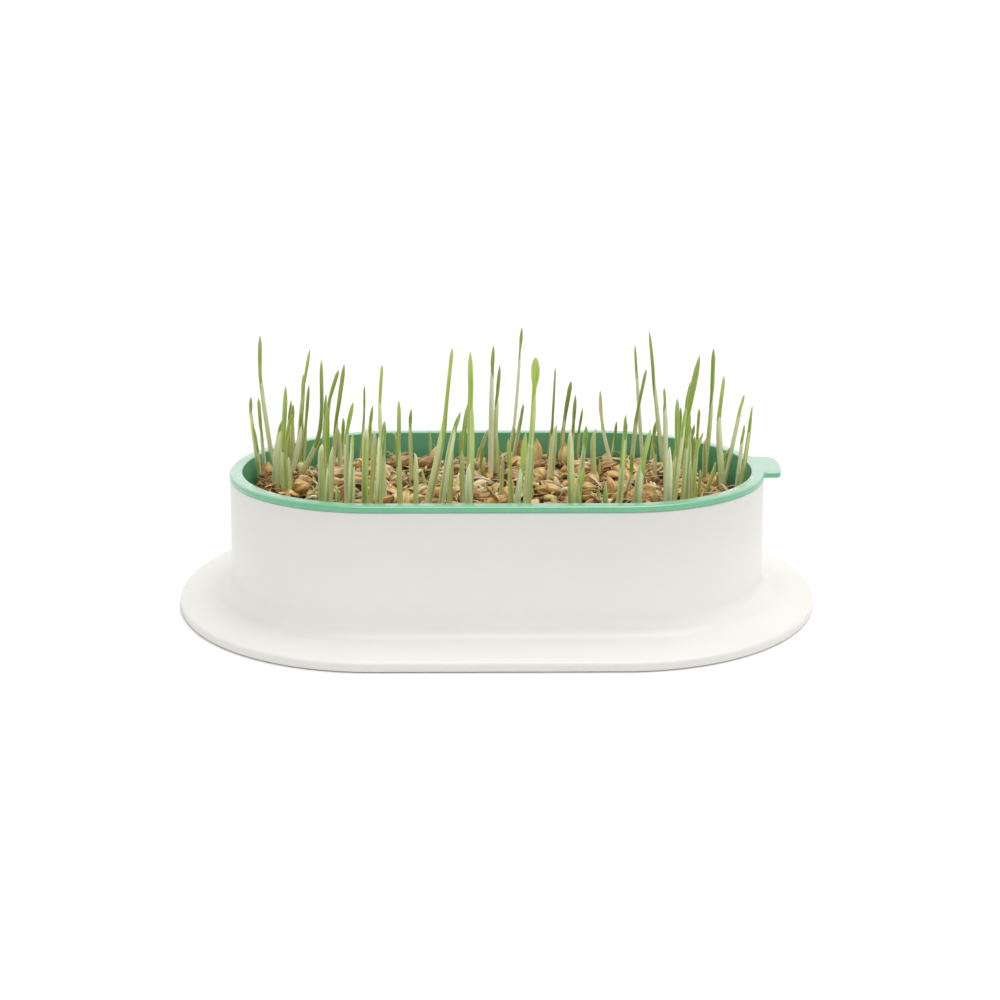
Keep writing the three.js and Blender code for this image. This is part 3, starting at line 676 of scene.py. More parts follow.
def arc(middle, radius, start, end, steps):
    """Points of a circle's arc in the profile plane, from one angle to the other in degrees."""
    angle = np.radians(np.linspace(start, end, steps + 1))
    return [(middle[0] + radius * np.cos(a), middle[1] + radius * np.sin(a)) for a in angle]


def line(start, end, steps):
    """Points along a straight stretch of a profile, without its last one."""
    share = np.linspace(0, 1, steps, endpoint=False)[:, None]
    return [tuple(point) for point in np.array(start) + share * (np.array(end) - np.array(start))]


def outer_pot():
    """Profile from the middle of the underside out over the foot ring and the lip, in over the
    flange, up the fillet and the wall, over the top edge and down the inside to the floor."""
    below, above = LIP["round_below"], LIP["round_above"]
    fillet_middle = (WALL_RADIUS_FOOT + FILLET, FLANGE_AT_FILLET + FILLET)
    edge = 0.35 * MM
    inner_top = WALL_RADIUS_TOP - WALL_THICKNESS
    inner_foot = inner_top - 0.4 * MM
    corner = 2.5 * MM
    profile = [(HUB, UNDERSIDE_RECESS), (FOOT_RING[0] - 0.3 * MM, UNDERSIDE_RECESS),
               (FOOT_RING[0], UNDERSIDE_RECESS - 0.3 * MM), (FOOT_RING[0], 0.2 * MM),
               (FOOT_RING[0] + 0.2 * MM, 0), (FOOT_RING[1] - 0.3 * MM, 0), (FOOT_RING[1], 0.1 * MM)]
    profile += arc((FOOT_RADIUS - below, LIP["bottom"] + below), below, -90, 0, 4)
    profile += arc((FOOT_RADIUS - above, LIP["top"] - above), above, 0, 84, 8)
    profile += line((FOOT_RADIUS - above - 0.5 * MM, LIP["top"] + 0.03 * MM),
                    (fillet_middle[0] + 0.6 * MM, FLANGE_AT_FILLET - 0.03 * MM), 8)
    profile += arc(fillet_middle, FILLET, 270, 181, 14)
    profile += line((WALL_RADIUS_FOOT - 0.02 * MM, fillet_middle[1] + 0.6 * MM),
                    (WALL_RADIUS_TOP, POT_TOP - edge), 12)
    profile += arc((WALL_RADIUS_TOP - edge, POT_TOP - edge), edge, 0, 90, 4)
    profile += arc((inner_top + edge, POT_TOP - edge), edge, 90, 180, 4)
    profile += line((inner_top, POT_TOP - 1 * MM), (inner_foot, POT_FLOOR + corner), 6)
    profile += arc((inner_foot - corner, POT_FLOOR + corner), corner, 0, -90, 6)
    profile += [(HUB, POT_FLOOR)]
    pot = Piece("white_pot", "pot_plastic", ["outer_pot"])
    pot.skin(around_oval(profile, oval(72, 24)), WHITE_PLASTIC)
    pot.make()


def turn_about(middle, radius, start, end, steps, outward=1):
    """Points and outward directions along an arc of the rim's outline, without its last point."""
    angle = np.linspace(start, end, steps, endpoint=False)
    direction = np.stack([np.cos(angle), np.sin(angle)], axis=-1)
    return np.array(middle) + radius * direction, outward * direction


def run_along(start, end, direction, steps):
    """Points and outward directions along a straight stretch of the rim's outline."""
    share = np.linspace(0, 1, steps, endpoint=False)[:, None]
    points = np.array(start) + share * (np.array(end) - np.array(start))
    return points, np.broadcast_to(direction, points.shape)


def rim_outline():
    """The rim's outer edge seen from above, with the lift tab at the +X end: points and outward
    directions, anticlockwise. The tab's end edge is part of a circle. Its outer corners turn on
    small circles that touch that edge and the tab's sides, and its sides meet the rim in hollow
    corners."""
    quarter, half_turn = TURN / 4, TURN / 2
    right, left = (HALF_STRAIGHT, 0), (-HALF_STRAIGHT, 0)
    end, neck = (TAB_END["x"], TAB_END["y"]), TAB["neck"]

    def corner(side, radius, sign):
        """Middle of an outer corner's circle, and the end edge's angle where they touch."""
        y = side - sign * radius
        angle = np.arcsin((y - end[1]) / (TAB_END["radius"] - radius))
        return (end[0] + (TAB_END["radius"] - radius) * np.cos(angle), y), angle

    def hollow(side, sign):
        """Middle of a hollow corner's circle, and the rim's angle where they touch."""
        angle = np.arcsin((side + sign * neck) / (RIM_RADIUS + neck))
        return (HALF_STRAIGHT + (RIM_RADIUS + neck) * np.cos(angle), side + sign * neck), angle

    front, front_angle = corner(TAB["front"], TAB["front_corner"], -1)
    back, back_angle = corner(TAB["back"], TAB["back_corner"], 1)
    front_neck, front_meet = hollow(TAB["front"], -1)
    back_neck, back_meet = hollow(TAB["back"], 1)
    stretches = [
        turn_about(right, RIM_RADIUS, -quarter, front_meet, 60),
        turn_about(front_neck, neck, half_turn + front_meet, quarter, 8, outward=-1),
        run_along((front_neck[0], TAB["front"]), (front[0], TAB["front"]), (0, -1), 6),
        turn_about(front, TAB["front_corner"], -quarter, front_angle, 10),
        turn_about(end, TAB_END["radius"], front_angle, back_angle, 20),
        turn_about(back, TAB["back_corner"], back_angle, quarter, 14),
        run_along((back[0], TAB["back"]), (back_neck[0], TAB["back"]), (0, 1), 6),
        turn_about(back_neck, neck, 3 * quarter, half_turn + back_meet, 8, outward=-1),
        turn_about(right, RIM_RADIUS, back_meet, quarter, 60),
        run_along((HALF_STRAIGHT, RIM_RADIUS), (-HALF_STRAIGHT, RIM_RADIUS), (0, 1), 24),
        turn_about(left, RIM_RADIUS, quarter, 3 * quarter, 90),
        run_along((-HALF_STRAIGHT, -RIM_RADIUS), (HALF_STRAIGHT, -RIM_RADIUS), (0, -1), 24),
    ]
    return (np.concatenate([part[0] for part in stretches]),
            np.concatenate([part[1] for part in stretches]))


def inner_tray():
    """Wall and floor are a profile carried around the plan, in the outline's own directions. The
    rim's rounded outer edge follows the outline, set in along its outward directions."""
    outline, outward = rim_outline()
    middle = np.clip(outline[:, 0], -HALF_STRAIGHT, HALF_STRAIGHT)
    towards = unit(outline - np.stack([middle, 0 * middle], axis=-1))
    plan = (middle, towards[:, 0], towards[:, 1])
    rim_bottom = RIM_TOP - RIM_HEIGHT
    outer_top = TRAY_INNER_TOP + TRAY_THICKNESS
    outer_floor = TRAY_INNER_FLOOR + TRAY_THICKNESS
    floor_top = TRAY_FLOOR + TRAY_FLOOR_THICKNESS
    below = [(HUB, TRAY_FLOOR)]
    below += arc((outer_floor - 1 * MM, TRAY_FLOOR + 1 * MM), 1 * MM, -90, 0, 5)
    below += line((outer_floor, TRAY_FLOOR + 1.4 * MM), (outer_top, rim_bottom - 0.4 * MM), 6)
    below += [(outer_top, rim_bottom - 0.3 * MM), (outer_top + 0.3 * MM, rim_bottom)]
    inside = RIM_ROUND["inside"]
    above = arc((TRAY_INNER_TOP + inside, RIM_TOP - inside), inside, 90, 180, 6)
    above += line((TRAY_INNER_TOP, RIM_TOP - 0.8 * MM), (TRAY_INNER_FLOOR, floor_top + 1.4 * MM), 10)
    above += arc((TRAY_INNER_FLOOR - 1 * MM, floor_top + 1 * MM), 1 * MM, 0, -90, 5)
    above += [(HUB, floor_top)]
    edge = arc((-RIM_ROUND["below"], rim_bottom + RIM_ROUND["below"]), RIM_ROUND["below"], -90, 0, 5)
    edge += arc((-RIM_ROUND["above"], RIM_TOP - RIM_ROUND["above"]), RIM_ROUND["above"], 0, 90, 8)
    inset, height = np.array(edge).T[:, :, None]
    edge_xy = outline + inset[:, :, None] * outward
    edge_rings = np.concatenate([edge_xy, height[:, :, None] + 0 * edge_xy[..., :1]], axis=-1)[None]
    rings = np.concatenate([around_oval(below, plan), edge_rings, around_oval(above, plan)], axis=1)
    tray = Piece("mint_tray", "tray_plastic", ["inner_tray"])
    tray.skin(rings, MINT_PLASTIC)
    tray.make()


# ---------------------------------------------------------------- bed


def inside_bed(x, y, margin=0.0):
    """True where a point lies over the bed, at least margin from its edge."""
    past_middle = np.maximum(np.abs(x) - HALF_STRAIGHT, 0)
    return np.hypot(past_middle, y) < BED_RADIUS - margin


def bed_height(x, y):
    """Height of the litter: three crossed waves of a few tenths of a millimetre."""
    x, y = x / MM, y / MM
    waves = np.sin(0.31 * x + 0.9) * np.cos(0.37 * y) + 0.6 * np.sin(0.83 * x - 0.6 * y)
    return BED_BASE + (0.35 * waves + 0.25 * np.sin(1.9 * x + 1.3) * np.sin(2.1 * y)) * MM


def litter():
    """The mat: a slab around the plan whose top follows the bed's height."""
    bottom = TRAY_FLOOR + TRAY_FLOOR_THICKNESS + 0.4 * MM
    profile = [(HUB, bottom), (TRAY_INNER_FLOOR - 1.4 * MM, bottom)]
    profile += line((TRAY_INNER_FLOOR - 0.6 * MM, bottom + 1 * MM), (BED_RADIUS, BED_BASE - 1 * MM), 6)
    sides = len(profile)
    profile += [(radius, BED_BASE) for radius in np.linspace(BED_RADIUS - 0.4 * MM, HUB, 48)]
    rings = around_oval(profile, oval(60, 60))
    top = rings[0, sides:]
    top[..., 2] = bed_height(top[..., 0], top[..., 1])
    mat = Piece("litter_mat", "roots", ["root_mat"])
    mat.skin(rings, LITTER)
    mat.make()


HEAP = np.array([-69.5, 0.5]) * MM
HEAP_SPREAD = np.array([4.0, 9.0]) * MM
HEAP_HEIGHT = 2.6 * MM


def heap_height(x, y):
    """A small heap of crumbs and slivers at the -X end: a bell over the bed."""
    across, along = (x - HEAP[0]) / HEAP_SPREAD[0], (y - HEAP[1]) / HEAP_SPREAD[1]
    return HEAP_HEIGHT * np.exp(-(across**2) - along**2)


def near_heap(count):
    """Places around the heap's middle that lie over the bed."""
    x = draw.normal(HEAP[0], HEAP_SPREAD[0], count)
    y = draw.normal(HEAP[1], HEAP_SPREAD[1], count)
    kept = inside_bed(x, y, 1.6 * MM)
    return x[kept], y[kept]


def scatter_and_heap(spacing, jitter, margin, heaped):
    """Places scattered over the bed with those of the heap after them, and which ones are heaped."""
    x, y = scatter(spacing, jitter, margin)
    heap_x, heap_y = near_heap(heaped)
    return np.append(x, heap_x), np.append(y, heap_y), np.arange(len(x) + len(heap_x)) >= len(x)


def turned(shape, heading, tilt, roll):
    """Copies of points (copies, rows, columns, 3): rolled about X, tilted up about Y, then turned
    about Z, each copy by its own angles."""
    def spin(points, angle, first, second):
        """Turns the first axis towards the second, each copy by its own angle."""
        angle = np.asarray(angle)[:, None, None]
        a, b = points[..., first], points[..., second]
        spun = points.copy()
        spun[..., first] = a * np.cos(angle) - b * np.sin(angle)
        spun[..., second] = a * np.sin(angle) + b * np.cos(angle)
        return spun
    points = spin(shape, roll, 1, 2)
    points = spin(points, -np.asarray(tilt), 2, 0)
    return spin(points, heading, 0, 1)


def each(count, low, high):
    """One random number for each copy, shaped to stretch over its rows and columns."""
    return draw.uniform(low, high, (count, 1, 1))


# Grains with at least this many columns get ridges and wrinkles.
FINE_COLUMNS = 20


def kernels(length, width, rows, columns):
    """Grains along X. Their radius is sin(pi s^0.9)^p, from rounded ends at p = 0.6 to pointed ones
    at 1; the belly has a furrow, a narrow bell-shaped dent; where the grid is fine enough, ridges
    and three crossed sine wrinkles run along it; and the back arches by a parabola."""
    count = len(length)
    length, width = length[:, None, None], width[:, None, None]
    s = np.linspace(0.012, 0.988, rows)[None, :, None]
    angle = ring_angles(columns)[None, None, :]
    body = np.sin(np.pi * s**0.9) ** each(count, 0.6, 1.0)
    from_belly = np.minimum(angle, TURN - angle)
    furrow = 1 - each(count, 0.15, 0.5) * np.exp(-((from_belly / 0.45) ** 2)) * np.sin(np.pi * s)
    ridges = 1
    if columns >= FINE_COLUMNS:
        ridges = 1 + 0.05 * np.cos(5 * angle) * np.sin(np.pi * s)
        for around, along in ((3, 1.7), (7, 1.1), (9, 2.3)):
            wave = np.sin(around * angle + TURN * along * s + each(count, 0, TURN))
            ridges = ridges + each(count, 0.01, 0.045) * wave
    lumps = 1 + 0.08 * np.sin(2 * angle + each(count, 0, TURN) + 5 * s)
    radius = width / 2 * body * furrow * ridges * lumps
    arch = each(count, 0.0, 0.13) * length * (0.6 - (2 * s - 1) ** 2)
    sway = each(count, -0.05, 0.05) * length * (0.6 - (2 * s - 1) ** 2)
    x = (s - 0.5) * length + 0 * angle
    y = radius * np.sin(angle) + sway
    z = -each(count, 0.8, 1.0) * radius * np.cos(angle) + arch
    return np.stack([x, y, z], axis=-1)


def lay(shape, x, y, z, heading, tilt, roll):
    """Turns each copy and puts its middle at its place."""
    place = np.stack([x, y, z], axis=-1)[:, None, None, :]
    return turned(shape, heading, tilt, roll) + place


def scatter(spacing, jitter, margin):
    """Places over the bed: a staggered grid, each shifted at random by up to jitter."""
    rows = np.arange(-60, 61) * spacing[1]
    columns = np.arange(-60, 61) * spacing[0]
    x, y = np.meshgrid(columns, rows)
    x = x + (np.arange(121) % 2)[:, None] * spacing[0] / 2
    x = x + draw.uniform(-jitter, jitter, x.shape)
    y = y + draw.uniform(-jitter, jitter, y.shape)
    kept = inside_bed(x, y, margin)
    return x[kept], y[kept]


# Layers of grains from the litter up: spacing, how far each may shift, height of the middles above
# the litter and its spread, spread of the tilt in radians, lengths and widths, in millimetres.
LAYERS = {
    "lower": {"spacing": (4.8, 3.8), "jitter": 1.4, "rise": 0.6, "spread": 0.4, "tilt": 0.3,
              "length": (6.0, 8.2), "width": (2.7, 3.5), "margin": 1.7, "rows": 7, "columns": 8},
    "middle": {"spacing": (7.2, 6.0), "jitter": 2.6, "rise": 2.0, "spread": 0.6, "tilt": 0.45,
               "length": (6.0, 8.6), "width": (2.8, 4.0), "margin": 2.2, "rows": 8, "columns": 10},
    "upper": {"spacing": (12.0, 10.5), "jitter": 4.6, "rise": 3.1, "spread": 0.5, "tilt": 0.45,
              "length": (6.8, 9.2), "width": (3.2, 4.7), "margin": 4.2, "rows": 18, "columns": 32},
}

# Where the left, middle and right pieces of a layer meet.
GRAIN_THIRDS = (-25 * MM, 25 * MM)

# Grains that stand out: x, y and height of the middle above the grains' level, heading and tilt in
# degrees, length, width, tone.
OUTSTANDING = [
    (13.4, 29.5, 3.9, 96, 72, 10.5, 4.0, 0.47),
    (22.4, 28.5, 3.6, 80, 82, 8.8, 3.4, 0.72),
    (8.4, 36.5, 4.2, 60, 74, 7.0, 2.6, 0.3),
    (15.4, -6.4, 1.0, -25, 4, 10.0, 4.2, 0.5),
    (13.3, 10.6, 1.5, 130, 24, 6.4, 4.4, 0.65),
    (17.8, 8.2, 1.2, -52, 10, 7.4, 3.6, 0.5),
    (27.4, -4.0, 1.4, 12, -6, 7.0, 2.8, 0.4),
    (27.6, -12.2, 0.6, -12, 4, 7.4, 3.0, 0.55),
    (33.4, -9.0, 2.6, 104, 66, 8.8, 3.4, 0.6),
    (-59.4, -3.7, 1.3, 18, 10, 7.0, 5.2, 0.35),
    (-24.0, -15.5, 0.8, 8, 12, 6.6, 4.0, 0.75),
    (-30.5, -15.0, 0.4, 70, 20, 6.8, 3.6, 0.8),
    (-22.5, 22.0, 2.6, -38, 22, 9.0, 4.4, 0.12),
    (-31.0, 26.0, 2.4, 15, 14, 8.6, 4.0, 0.18),
    (-73.0, 6.0, 2.8, 84, 78, 8.4, 2.8, 0.25),
    (-71.2, 8.0, 2.7, 100, 66, 8.0, 3.2, 0.42),
    (-3.0, -14.0, 0.9, -20, 4, 7.0, 3.0, 0.25),
    (41.0, -12.5, 1.2, 60, 30, 7.0, 3.6, 0.6),
    (45.0, 9.0, 1.6, 40, 22, 7.6, 3.2, 0.4),
    (36.0, 20.5, 2.2, 8, 10, 7.8, 3.0, 0.3),
    (66.0, 1.0, 1.6, 50, 36, 6.6, 2.9, 0.35),
]


def grain_bed():
    """Layers of grains that lean on each other, each layer in three pieces from left to right. Along
    the wall the grains lie with it. Returns the germ ends of the upper grains, their headings and
    their tilts."""
    ends = []
    for name, layer in LAYERS.items():
        x, y = scatter(np.array(layer["spacing"]) * MM, layer["jitter"] * MM, layer["margin"] * MM)
        count = len(x)
        length = draw.uniform(*layer["length"], count) * MM
        width = draw.uniform(*layer["width"], count) * MM
        rise = layer["rise"] + layer["spread"] * draw.uniform(-1, 1, count)
        z = bed_height(x, y) + rise * MM
        near_wall = ~inside_bed(x, y, 4.5 * MM)
        along_wall = np.arctan2(y, np.sign(x) * np.maximum(np.abs(x) - HALF_STRAIGHT, 0)) + TURN / 4
        heading = np.where(near_wall, along_wall, draw.uniform(0, TURN, count))
        tilt = draw.normal(0, layer["tilt"], count) * np.where(near_wall, 0.4, 1)
        shape = kernels(length, width, layer["rows"], layer["columns"])
        laid = lay(shape, x, y, z, heading, tilt, draw.uniform(0, TURN, count))
        tone = draw.beta(1.5, 1.3, count)
        third = np.digitize(x, GRAIN_THIRDS)
        for part, side in enumerate(("left", "middle", "right")):
            bed = Piece(f"{name}_grains_{side}", "grain")
            bed.skin(laid[third == part], GRAIN, tone[third == part])
            bed.make()
        ends.append(np.stack([x + 0.46 * length * np.cos(heading) * np.cos(tilt),
                              y + 0.46 * length * np.sin(heading) * np.cos(tilt),
                              z + 0.46 * length * np.sin(tilt), heading, tilt]))
    x, y, height, heading, tilt, length, width, tone = np.array(OUTSTANDING).T
    shape = kernels(length * MM, width * MM, 26, 40)
    bed = Piece("outstanding_grains", "grain")
    bed.skin(lay(shape, x * MM, y * MM, BED_LEVEL + height * MM, np.radians(heading),
                 np.radians(tilt), draw.uniform(0, TURN, len(x))), GRAIN, tone)
    bed.make()
    return np.concatenate(ends[1:], axis=1)


def loose_grains():
    """Each loose grain of the frame, made again in full detail where its solid lies."""
    names = sorted(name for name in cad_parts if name.startswith("grain_"))
    for number, name in enumerate(names):
        low, high = (np.array(corner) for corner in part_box(name))
        middle = (low + high) / 2
        corners = vertices_of(name)[:, :2] - middle[:2]
        farthest = corners[np.argmax((corners**2).sum(axis=1))]
        shape = kernels(np.array([7.6 * MM]), np.array([3.4 * MM]), 28, 40)
        piece = Piece(f"loose_{name}", "grain", [name])
        angle = [np.arctan2(farthest[1], farthest[0])]
        piece.skin(lay(shape, [middle[0]], [middle[1]], [middle[2]], angle,
                       [draw.uniform(-0.12, 0.12)], [draw.uniform(-0.8, 0.8) + np.pi * (number % 2)]),
                   GRAIN, draw.uniform(0.25, 0.95))
        piece.make()


def husks():
    """Empty husks: boat-shaped shells, thin, with an inner and an outer face, lying every way."""
    x, y = scatter((9.4 * MM, 7.6 * MM), 3.8 * MM, 3.5 * MM)
    count = len(x)
    rows, half = 8, 5
    s = np.linspace(0.02, 0.98, rows)[None, :, None]
    width, length = each(count, 1.8, 3.4) * MM, each(count, 4.5, 9.0) * MM
    spread = np.linspace(-1.25, 1.25, half)
    angle = np.concatenate([spread, spread[::-1]])[None, None, :]
    inward = np.repeat([0.0, 0.12], half)[None, None, :] * MM
    radius = width / 2 * np.sin(np.pi * s) ** 0.85
    shell_x = (s - 0.5) * length + 0 * angle
    shell_y = (radius + 0 * angle) * np.sin(angle) * (1 - inward / width)
    shell_z = (radius - inward) * np.cos(angle) * 0.8 - each(count, 0, 0.1) * length * (2 * s - 1) ** 2
    shape = np.stack([shell_x, -shell_y, shell_z], axis=-1)
    z = bed_height(x, y) + draw.uniform(2.4, 4.8, count) * MM
    piece = Piece("loose_husks", "grain")
    piece.skin(lay(shape, x, y, z, draw.uniform(0, TURN, count), draw.normal(0, 0.5, count),
                   draw.normal(0, 0.9, count) + np.pi * draw.integers(0, 2, count)), HUSK,
               draw.uniform(0, 1, count))
    piece.make()


def slivers():
    """Thin flat slivers of straw over the grains, thickest in the corner near the -X end."""
    x, y, heaped = scatter_and_heap((7.6 * MM, 6.4 * MM), 3.4 * MM, 4 * MM, 260)
    short = np.where(heaped, 0.45, 1.0)
    count = len(x)
    length = draw.uniform(2.6, 7.5, count) * short * MM
    width = draw.uniform(0.4, 1.1, count) * short**0.5 * MM
    shape = kernels(length, width, 7, 7) * np.array([1, 1, 0.28])
    z = bed_height(x, y) + draw.uniform(2.8, 5.2, count) * MM + heap_height(x, y)
    piece = Piece("straw_slivers", "grain")
    piece.skin(lay(shape, x, y, z, draw.uniform(0, TURN, count), draw.normal(0, 0.35, count),
                   draw.normal(0, 0.7, count)), HUSK, draw.uniform(0, 1, count) * short)
    piece.make()


def vertices_of(name):
    """The corners of a frame node's mesh, one to a row."""
    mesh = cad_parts[name].data
    points = np.empty(3 * len(mesh.vertices))
    mesh.vertices.foreach_get("co", points)
    return points.reshape(-1, 3)


def threads(path, radius, columns=6):
    """Round threads along paths (copies, rows, 3), with a radius for each row."""
    angle = ring_angles(columns)[None, None, :, None]
    side, up = section_axes(path, (0.31, 0.23, 0.92))
    ring = np.cos(angle) * side[:, :, None] + np.sin(angle) * up[:, :, None]
    return path[:, :, None] + radius[:, :, None, None] * ring


def wandering(x, y, z, heading, length, rise, curl, rows):
    """Paths from x, y, z: they head off, turn steadily by curl, and rise and sink in one arch."""
    s = np.linspace(0, 1, rows)[None, :]
    bearing = heading[:, None] + curl[:, None] * s
    step = length[:, None] / rows
    px = x[:, None] + np.cumsum(np.cos(bearing) * step, axis=1)
    py = y[:, None] + np.cumsum(np.sin(bearing) * step, axis=1)
    pz = z[:, None] + rise[:, None] * np.sin(np.pi * s)
    return np.stack([px, py, pz], axis=-1)


# Thick white roots and sprout feet that curl over the grains: four points each, in millimetres, with
# heights above the grains' level, and the radius at the thick end.
CURLED = [
    ((19.0, -8.0, 0.8), (20.6, -9.6, 2.4), (22.0, -12.6, 2.2), (21.4, -15.6, -0.4), 0.75),
    ((-53.6, 31.0, 0.6), (-52.6, 31.0, 2.2), (-51.0, 30.6, 2.1), (-49.8, 30.4, 0.4), 0.5),
    ((-47.4, 29.0, 0.8), (-46.2, 28.6, 2.0), (-44.6, 28.2, 1.9), (-43.6, 28.0, 0.4), 0.45),
    ((-35.6, 11.0, 6.4), (-35.0, 10.6, 3.6), (-33.6, 9.8, 1.4), (-31.4, 8.6, 0.4), 0.5),
    ((37.2, 19.0, 1.2), (38.4, 18.2, 2.0), (39.8, 17.4, 1.4), (41.0, 16.8, 0.2), 0.45),
    ((-8.0, 8.0, 0.6), (-6.4, 6.2, 1.8), (-3.6, 5.4, 1.7), (-1.6, 6.6, 0.4), 0.3),
    ((29.2, 6.8, 2.0), (30.0, 3.6, 2.1), (30.8, 0.2, 1.8), (31.8, -3.6, 1.2), 0.35),
    ((-20.0, 12.0, 0.4), (-18.4, 12.4, 1.9), (-16.4, 12.0, 1.8), (-15.2, 11.0, 0.2), 0.4),
    ((52.4, 6.0, 0.5), (53.4, 4.8, 1.8), (55.0, 4.0, 1.7), (56.2, 4.0, 0.3), 0.35),
]


def surface_roots(ends):
    """White roots that arch over the grains, sprouts at the grains' germ ends, curled sprout feet,
    and thin straw threads that lie among them."""
    piece = Piece("surface_roots", "roots")
    x, y = scatter((11.0 * MM, 9.0 * MM), 4.5 * MM, 6 * MM)
    count = len(x)
    path = wandering(x, y, bed_height(x, y) + 1.6 * MM, draw.uniform(0, TURN, count),
                     draw.uniform(5, 12, count) * MM, draw.uniform(1.0, 2.8, count) * MM,
                     draw.normal(0, 1.6, count), 14)
    thickness = draw.uniform(0.18, 0.36, count)[:, None] * np.linspace(1.15, 0.5, 14) * MM
    piece.skin(threads(path, thickness), ROOT, draw.uniform(0.1, 1, count))

    ends = ends[:, draw.uniform(0, 1, ends.shape[1]) < 0.34]
    count = ends.shape[1]
    heading = ends[3] + draw.normal(0, 0.5, count)
    path = wandering(ends[0], ends[1], ends[2], heading, draw.uniform(1.2, 4.0, count) * MM,
                     draw.uniform(-0.4, 1.2, count) * MM, draw.normal(0, 1.2, count), 7)
    thickness = draw.uniform(0.3, 0.52, count)[:, None] * np.array([1, 1.1, 1, 0.9, 0.75, 0.6, 0.3]) * MM
    piece.skin(threads(path, thickness, 7), ROOT, draw.uniform(0.2, 1, count))

    for *stations, radius in CURLED:
        points = (np.array(stations) + [0, 0, BED_LEVEL / MM]) * MM
        path = smooth_line(points, 26)[None]
        taper = radius * MM * (1 - 0.45 * np.linspace(0, 1, 26) ** 2)[None]
        piece.skin(threads(path, taper, 12), ROOT, draw.uniform(0.5, 1.0))

    x, y = scatter((6.0 * MM, 5.2 * MM), 3.0 * MM, 6 * MM)
    count = len(x)
    path = wandering(x, y, bed_height(x, y) + draw.uniform(2.4, 4.6, count) * MM,
                     draw.uniform(0, TURN, count), draw.uniform(4, 10, count) * MM,
                     draw.uniform(-0.3, 1.4, count) * MM, draw.normal(0, 0.7, count), 8)
    thickness = draw.uniform(0.08, 0.22, count)[:, None] * np.linspace(1, 0.6, 8) * MM
    piece.skin(threads(path, thickness, 5), HUSK, draw.uniform(0.2, 1, count))
    piece.make()


def crumbs():
    """Dark crumbs, thickest in the corner near the -X end: small lumpy balls."""
    x, y, _ = scatter_and_heap((7 * MM, 6 * MM), 3.4 * MM, 1.5 * MM, 700)
    count = len(x)
    rows, columns = 5, 6
    polar = np.linspace(0.25, np.pi - 0.25, rows)[None, :, None]
    angle = ring_angles(columns)[None, None, :]
    size = each(count, 0.25, 0.8) * MM
    lump = size * (1 + 0.3 * np.sin(3 * angle + each(count, 0, TURN) + 2 * polar))
    shape = np.stack([-np.cos(polar) * size * 1.3 + 0 * angle, lump * np.sin(polar) * np.sin(angle),
                      -lump * np.sin(polar) * np.cos(angle)], axis=-1)
    z = bed_height(x, y) + draw.uniform(1.2, 4.4, count) * MM + heap_height(x, y)
    piece = Piece("dark_crumbs", "roots")
    piece.skin(lay(shape, x, y, z, draw.uniform(0, TURN, count), draw.uniform(0, 1, count),
                   draw.uniform(0, TURN, count)), CRUMB)
    piece.make()


# ---------------------------------------------------------------- shoots

SHEATH_ROWS, SHEATH_COLUMNS = 34, 20
BLADE_ROWS, BLADE_COLUMNS = 36, 16
RINGS_TO_MOUTH = 5


def frame_shoot(name):
    """The stem that a shoot's solid holds: its level rings' middles from the foot up, which way the
    widest section faces, and the sheath's and blade's widths."""
    points = vertices_of(name)
    points = points[np.argsort(points[:, 2])]
    breaks = np.flatnonzero(np.diff(points[:, 2]) > 0.1 * MM) + 1
    rings = [np.unique(np.round(ring, 7), axis=0) for ring in np.split(points, breaks)]
    middles = np.array([ring.mean(axis=0) for ring in rings])
    reach = [np.linalg.norm((ring - middle)[:, :2], axis=1) for ring, middle in zip(rings, middles)]
    widths = np.array([2 * ring.max() for ring in reach])
    widest = rings[1][np.argmax(reach[1])] - middles[1]
    facing = np.array([widest[0], widest[1], 0]) * np.sign(widest[0])
    return middles, facing, widths[:RINGS_TO_MOUTH].max(), widths[RINGS_TO_MOUTH:].max()


def small_shoot(row):
    """The same for a shoot given by a row of SMALL_SHOOTS."""
    foot_x, foot_y, mouth_x, mouth_height, tip_x, tip_y, tip_height, sheath, blade = row
    mouth_y = foot_y + (tip_y - foot_y) * 0.5 * mouth_height / tip_height
    level = BED_LEVEL / MM
    stations = np.array([[foot_x, foot_y, level - 0.7], [mouth_x, mouth_y, level + mouth_height],
                         [tip_x, tip_y, level + tip_height]]) * MM
    facing = np.array([1.0, draw.uniform(-0.4, 0.4), 0])
    return smooth_line(stations, 2 * RINGS_TO_MOUTH - 1), facing, sheath * MM, blade * MM


